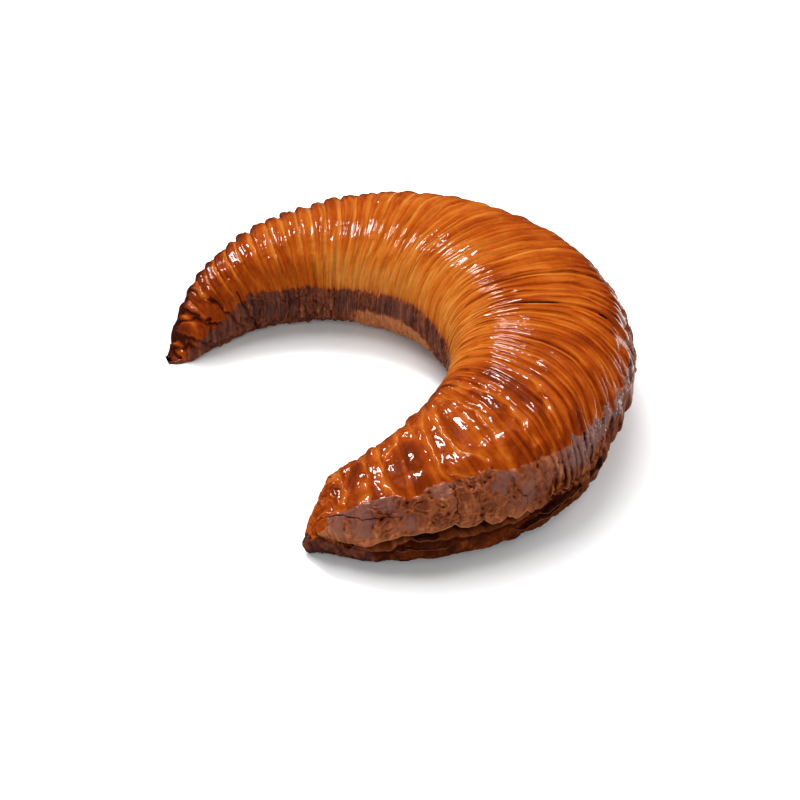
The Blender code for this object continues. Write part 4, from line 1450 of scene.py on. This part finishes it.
# Linear colours by tone, from 0, palest, to 1, nearly burnt: of the glaze, of the bare crust, and of
# the layer below the seam, painted darker as shade under the overhanging wrap
AMBER = (
    (0.00, (0.440, 0.1580, 0.0260)),
    (0.20, (0.385, 0.1060, 0.0105)),
    (0.40, (0.310, 0.0610, 0.0038)),
    (0.58, (0.225, 0.0325, 0.0013)),
    (0.76, (0.130, 0.0160, 0.0009)),
    (1.00, (0.040, 0.0055, 0.0010)),
)
HUSK = (
    (0.00, (0.360, 0.1200, 0.0400)),
    (0.30, (0.220, 0.0580, 0.0155)),
    (0.55, (0.140, 0.0310, 0.0082)),
    (0.80, (0.075, 0.0140, 0.0042)),
    (1.00, (0.030, 0.0050, 0.0020)),
)
LEDGE_IN_PAINTED_SHADE = (
    (0.00, (0.240, 0.0580, 0.0100)),
    (0.30, (0.085, 0.0150, 0.0020)),
    (0.65, (0.030, 0.0045, 0.0010)),
    (1.00, (0.012, 0.0020, 0.0010)),
)
# Grey of the smooth plates, partly a painted sheen, and all painted sheen on the right shoulder
GREY_PLATE_AND_SHEEN = (0.165, 0.084, 0.074)
# Colour of the pale torn rim, a painted highlight along the wrap's edge
RIM_PAINTED_HIGHLIGHT = (0.36, 0.145, 0.060)
# Colour of the painted shade in hollows and in the open seam
DARK_PAINTED_SHADE = (0.014, 0.0022, 0.0010)

# Linear colours of the torn dough, painted dark as shade in the seam, and of its thin edge, painted lighter
# as a highlight
TORN_DOUGH_IN_PAINTED_SHADE = (
    (0.00, (0.075, 0.0180, 0.0030)),
    (0.50, (0.024, 0.0045, 0.0010)),
    (1.00, (0.009, 0.0016, 0.0010)),
)
TORN_EDGE_PAINTED_HIGHLIGHT = (0.28, 0.092, 0.024)


def crust_material():
    """Glazed crust on top and bare baked crust below it, from the crust's own readings."""
    material = bpy.data.materials.new("glazed_crust")
    material.use_nodes = True
    tree = material.node_tree
    shader = tree.nodes["Principled BSDF"]
    where = node(tree, "ShaderNodeTexCoord").outputs["Object"]
    wound = node(tree, "ShaderNodeAttribute", attribute_name="wound").outputs["Vector"]
    read = {}
    for label in ("tone", "reach", "dark", "rim", "lower", "plate_and_sheen", "calm"):
        read[label] = node(tree, "ShaderNodeAttribute", attribute_name=label).outputs["Fac"]
    fleck = speckle(tree, where, 0.0012, 3.0)
    fine_fleck = speckle(tree, where, 0.0005, 2.0, 3.0)
    cloud = speckle(tree, where, 0.006, 3.0, 7.0)
    thread = speckle(tree, wound, (0.00085, 0.0100, 0.0100), 2.0, 5.0)

    reach = sum_of(tree, sum_of(tree, read["reach"], fleck, 2.2), thread, 2.0)
    glazed = between(tree, reach, -1.0, 1.0)
    tone = sum_of(tree, sum_of(tree, read["tone"], fleck, 0.18), fine_fleck, 0.12)
    thread = product_of(tree, thread, read["calm"])
    tone = sum_of(tree, tone, thread, 0.17)
    husk_tone = sum_of(tree, tone, cloud, 0.25)
    husk = colour_ramp(tree, husk_tone, HUSK)
    # Grey plates, their grey partly a painted sheen
    husk = blend(tree, between(tree, read["plate_and_sheen"], 0.0, 1.0, 0.0, 0.80), husk, GREY_PLATE_AND_SHEEN)
    colour = blend(tree, glazed, husk, colour_ramp(tree, tone, AMBER))
    # The layer below the seam takes the ledge colours, painted darker as shade under the wrap
    ledge = colour_ramp(tree, husk_tone, LEDGE_IN_PAINTED_SHADE)
    colour = blend(tree, between(tree, read["lower"], 0.1, 0.6), colour, ledge)
    # Pale torn rim of the wrap, painted lighter as a highlight
    colour = blend(tree, between(tree, read["rim"], 0.15, 0.9, 0.0, 0.7), colour, RIM_PAINTED_HIGHLIGHT)
    # Painted shade in pits, slits, cracks, the hole, creases and the open seam
    colour = blend(tree, between(tree, read["dark"], 0.05, 0.95, 0.0, 0.97), colour, DARK_PAINTED_SHADE)
    tree.links.new(colour, shader.inputs["Base Color"])

    sound = between(tree, read["dark"], 0.1, 0.7, 1.0, 0.0)
    shine = product_of(tree, glazed, sound)
    shine = product_of(tree, shine, between(tree, read["calm"], 0.5, 1.0, 1.0, 0.85))
    rough = sum_of(tree, between(tree, shine, 0.0, 1.0, 0.52, 0.42), fleck, 0.2)
    tree.links.new(rough, shader.inputs["Roughness"])
    bare_gloss = between(tree, read["plate_and_sheen"], 0.1, 0.9, 0.55, 1.0)
    gloss = product_of(tree, sound, between_values(tree, glazed, bare_gloss, 0.12))
    gloss = product_of(tree, gloss, between(tree, read["lower"], 0.0, 0.5, 1.0, 0.2))
    tree.links.new(between(tree, gloss, 0.0, 1.0, 0.0, 0.25), shader.inputs["Specular IOR Level"])
    waxed = node(tree, "ShaderNodeMath", operation="MAXIMUM")
    waxed_plate = product_of(tree, sound, between(tree, read["plate_and_sheen"], 0.1, 1.0, 0.15, 1.0))
    tree.links.new(shine, waxed.inputs[0])
    tree.links.new(waxed_plate, waxed.inputs[1])
    tree.links.new(waxed.outputs[0], shader.inputs["Coat Weight"])
    tree.links.new(between(tree, waxed.outputs[0], 0.0, 1.0, 0.24, 0.055), shader.inputs["Coat Roughness"])
    shader.inputs["Coat IOR"].default_value = 1.5
    shader.inputs["IOR"].default_value = 1.45
    shader.inputs["Metallic"].default_value = 0.0

    bumps = sum_of(tree, fine_fleck, speckle(tree, where, 0.0022, 2.0, 11.0), 1.5)
    bumps = sum_of(tree, bumps, thread, 0.8)
    bump = node(tree, "ShaderNodeBump", Strength=0.5, Distance=0.00016)
    tree.links.new(bumps, bump.inputs["Height"])
    tree.links.new(bump.outputs["Normal"], shader.inputs["Normal"])
    coat_bump = node(tree, "ShaderNodeBump", Strength=0.45, Distance=0.00014)
    ripples = sum_of(tree, speckle(tree, where, 0.0014, 2.0, 13.0), thread, 1.2)
    tree.links.new(ripples, coat_bump.inputs["Height"])
    tree.links.new(coat_bump.outputs["Normal"], shader.inputs["Coat Normal"])
    return material


def torn_dough_material():
    """Bare flaky dough by the open seam: painted dark brown inside as shade in the seam, with a thin orange
    torn edge painted lighter as a highlight.
    """
    material = bpy.data.materials.new("torn_dough")
    material.use_nodes = True
    tree = material.node_tree
    shader = tree.nodes["Principled BSDF"]
    where = node(tree, "ShaderNodeTexCoord").outputs["Object"]
    inside = node(tree, "ShaderNodeAttribute", attribute_name="inside").outputs["Fac"]
    fleck = speckle(tree, where, 0.0016, 3.0, 17.0)
    tone = sum_of(tree, speckle(tree, where, 0.006, 2.0, 19.0), fleck, 0.8)
    colour = colour_ramp(tree, between(tree, tone, -0.35, 0.35), TORN_DOUGH_IN_PAINTED_SHADE)
    colour = blend(tree, between(tree, inside, 0.0, 0.14, 0.75, 0.0), colour, TORN_EDGE_PAINTED_HIGHLIGHT)
    tree.links.new(colour, shader.inputs["Base Color"])
    tree.links.new(between(tree, fleck, -0.3, 0.3, 0.42, 0.62), shader.inputs["Roughness"])
    shader.inputs["Specular IOR Level"].default_value = 0.15
    bump = node(tree, "ShaderNodeBump", Strength=0.6, Distance=0.0002)
    tree.links.new(fleck, bump.inputs["Height"])
    tree.links.new(bump.outputs["Normal"], shader.inputs["Normal"])
    return material


# Floor: how far it reaches, its level, how finely it is drawn, and the azimuths of the wedge that
# the crust mirrors. Backdrop: its radius, height and glow.
FLOOR_REACH = 8.0
FLOOR_LEVEL = -0.0002
FLOOR_POINTS = 49
WEDGE_FROM = 145.0
WEDGE_TO = 198.0
BACKDROP_RADIUS = 7.0
BACKDROP_HEIGHT = 2.6
BACKDROP_POINTS = 96
BACKDROP_GLOW = 0.4


def floor_material():
    """Plain matt white, a touch uneven."""
    material = bpy.data.materials.new("pale_floor")
    material.use_nodes = True
    tree = material.node_tree
    shader = tree.nodes["Principled BSDF"]
    where = node(tree, "ShaderNodeTexCoord").outputs["Object"]
    colour = colour_ramp(tree, between(tree, speckle(tree, where, 0.4), -0.5, 0.5), (
        (0.0, (0.85, 0.85, 0.85)),
        (1.0, (0.86, 0.86, 0.86)),
    ))
    tree.links.new(colour, shader.inputs["Base Color"])
    shader.inputs["Roughness"].default_value = 0.9
    shader.inputs["Specular IOR Level"].default_value = 0.1
    return material


def backdrop_material():
    """Pale paper that glows evenly, as if lit from outside the picture."""
    material = bpy.data.materials.new("pale_backdrop")
    material.use_nodes = True
    shader = material.node_tree.nodes["Principled BSDF"]
    shader.inputs["Base Color"].default_value = (0.8, 0.8, 0.8, 1.0)
    shader.inputs["Roughness"].default_value = 1.0
    shader.inputs["Emission Color"].default_value = (1.0, 1.0, 1.0, 1.0)
    shader.inputs["Emission Strength"].default_value = BACKDROP_GLOW
    return material


def lay_floor():
    """A wide pale floor, just under the croissant's foot, in two parts that meet edge to edge: a
    wedge behind on the right, which the crust mirrors, and the rest, which it doesn't."""
    azimuths = (WEDGE_FROM, WEDGE_TO, WEDGE_FROM + 360.0)
    material = floor_material()
    for name, first, last in (("floor_wedge", *azimuths[:2]), ("floor", *azimuths[1:])):
        turns = np.radians(np.linspace(first, last, FLOOR_POINTS))
        rim = np.stack([np.sin(turns), -np.cos(turns), np.zeros(FLOOR_POINTS)], axis=-1) * FLOOR_REACH
        points = np.concatenate([np.zeros((1, 3)), rim]) + [0.0, 0.0, FLOOR_LEVEL]
        index = np.arange(1, FLOOR_POINTS)
        fan = np.stack([np.zeros_like(index), index, index + 1], axis=-1)
        part = mesh_piece(name, points, [fan], material)
        part.visible_glossy = name == "floor_wedge"


def stand_backdrop():
    """A pale round wall far behind the floor: two rings of points joined by faces that look in."""
    around = np.linspace(0.0, 2.0 * math.pi, BACKDROP_POINTS, endpoint=False)
    x, y = BACKDROP_RADIUS * np.cos(around), BACKDROP_RADIUS * np.sin(around)
    ring = np.stack([x, y, np.full(BACKDROP_POINTS, FLOOR_LEVEL)], axis=-1)
    top = ring + [0.0, 0.0, BACKDROP_HEIGHT]
    index = np.arange(BACKDROP_POINTS)
    after = np.roll(index, -1)
    faces = np.stack([after, index, index + BACKDROP_POINTS, after + BACKDROP_POINTS], axis=-1)
    wall = mesh_piece("backdrop", np.concatenate([ring, top]), [faces], backdrop_material())
    wall.visible_glossy = False


# Panels: azimuth and elevation in degrees, distance and size in metres, and power in watts
PANELS = (
    ("softbox", -85.0, 53.0, 0.9, (0.15, 0.31), 5.2),
    ("scrim", -60.0, 57.0, 2.6, (1.60, 1.10), 1.8),
)

# Spread lights: azimuth, elevation and width across in degrees, and strength
SPREAD_LIGHTS = (
    ("fill", 63.0, 38.0, 45.0, 1.20),
    ("right_window", -177.0, 38.0, 45.0, 1.25),
    ("back_window", -110.0, 42.0, 50.0, 2.0),
    ("top_window", -57.0, 68.0, 45.0, 2.3),
)
LIGHT_DISTANCE = 3.0
ROOM_GLOW = 0.03

# Camera: where it stands from what it looks at, in degrees and metres, and its lens in millimetres
CAMERA_AIM = (0.019509, -0.017485, 0.017333)
CAMERA_AZIMUTH = 62.6448
CAMERA_ELEVATION = 38.0
CAMERA_DISTANCE = 0.76391
CAMERA_LENS = 114.94
CAMERA_SENSOR = 36.0


def direction(azimuth, elevation):
    """Unit vector from the croissant towards azimuth and elevation in degrees; azimuth 0 is -Y."""
    a, e = math.radians(azimuth), math.radians(elevation)
    return Vector((math.sin(a) * math.cos(e), -math.cos(a) * math.cos(e), math.sin(e)))


def face_croissant(name, light, azimuth, elevation, distance):
    """Puts a light at azimuth, elevation and distance, and turns it to the croissant."""
    lamp = bpy.data.objects.new(name, light)
    towards = direction(azimuth, elevation)
    lamp.location = towards * distance
    lamp.rotation_mode = "QUATERNION"
    lamp.rotation_quaternion = towards.to_track_quat("Z", "Y")
    bpy.context.scene.collection.objects.link(lamp)
    return lamp


def hang_panel(name, azimuth, elevation, distance, size, power):
    """A rectangular soft panel light that faces the croissant."""
    light = bpy.data.lights.new(name, "AREA")
    light.shape = "RECTANGLE"
    light.size, light.size_y = size
    light.energy = power
    face_croissant(name, light, azimuth, elevation, distance)


def spread_light(name, azimuth, elevation, spread, strength):
    """Light from a wide round patch of the room, `spread` degrees across, that gives no glints."""
    light = bpy.data.lights.new(name, "SUN")
    light.energy = strength
    light.angle = math.radians(spread)
    face_croissant(name, light, azimuth, elevation, LIGHT_DISTANCE).visible_glossy = False


def light_studio():
    """A small bright softbox high on the left and a dim wide scrim behind it, whose glints show, four
    spread lights that fill the shadows without glints, and a faintly lit room."""
    for panel in PANELS:
        hang_panel(*panel)
    for light in SPREAD_LIGHTS:
        spread_light(*light)
    world = bpy.data.worlds.new("studio")
    world.use_nodes = True
    room = world.node_tree.nodes["Background"]
    room.inputs["Color"].default_value = (1.0, 1.0, 1.0, 1.0)
    room.inputs["Strength"].default_value = ROOM_GLOW
    bpy.context.scene.world = world
    bpy.context.scene.view_settings.view_transform = "Standard"


def set_camera():
    """The camera, which looks down at the croissant's blunt side with a long lens."""
    camera = bpy.data.objects.new("camera", bpy.data.cameras.new("camera"))
    camera.data.lens = CAMERA_LENS
    camera.data.sensor_width = CAMERA_SENSOR
    towards = direction(CAMERA_AZIMUTH, CAMERA_ELEVATION)
    camera.location = Vector(CAMERA_AIM) + towards * CAMERA_DISTANCE
    camera.rotation_mode = "QUATERNION"
    camera.rotation_quaternion = towards.to_track_quat("Z", "Y")
    bpy.context.scene.collection.objects.link(camera)
    bpy.context.scene.camera = camera


def build_croissant():
    """The parts of the crust and the torn layers in the seam, put where the solid is."""
    crust = make_crust()
    material = crust_material()
    pieces = []
    first = 0
    for name, end in CRUST_PARTS:
        last = int(np.argmin(np.abs(crust[0] - end)))
        pieces.append(crust_piece(name, crust, first, last, material))
        first = last
    dough = torn_dough_material()
    for number, layer in enumerate(TORN_LAYERS):
        pieces.append(torn_layer(f"torn_layer_{number + 1}", *layer, dough))
    for piece in pieces:
        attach(piece, "root")
        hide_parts("croissant")


for thing in list(bpy.data.objects):
    bpy.data.objects.remove(thing, do_unlink=True)
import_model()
set_camera()
light_studio()
lay_floor()
stand_backdrop()
build_croissant()
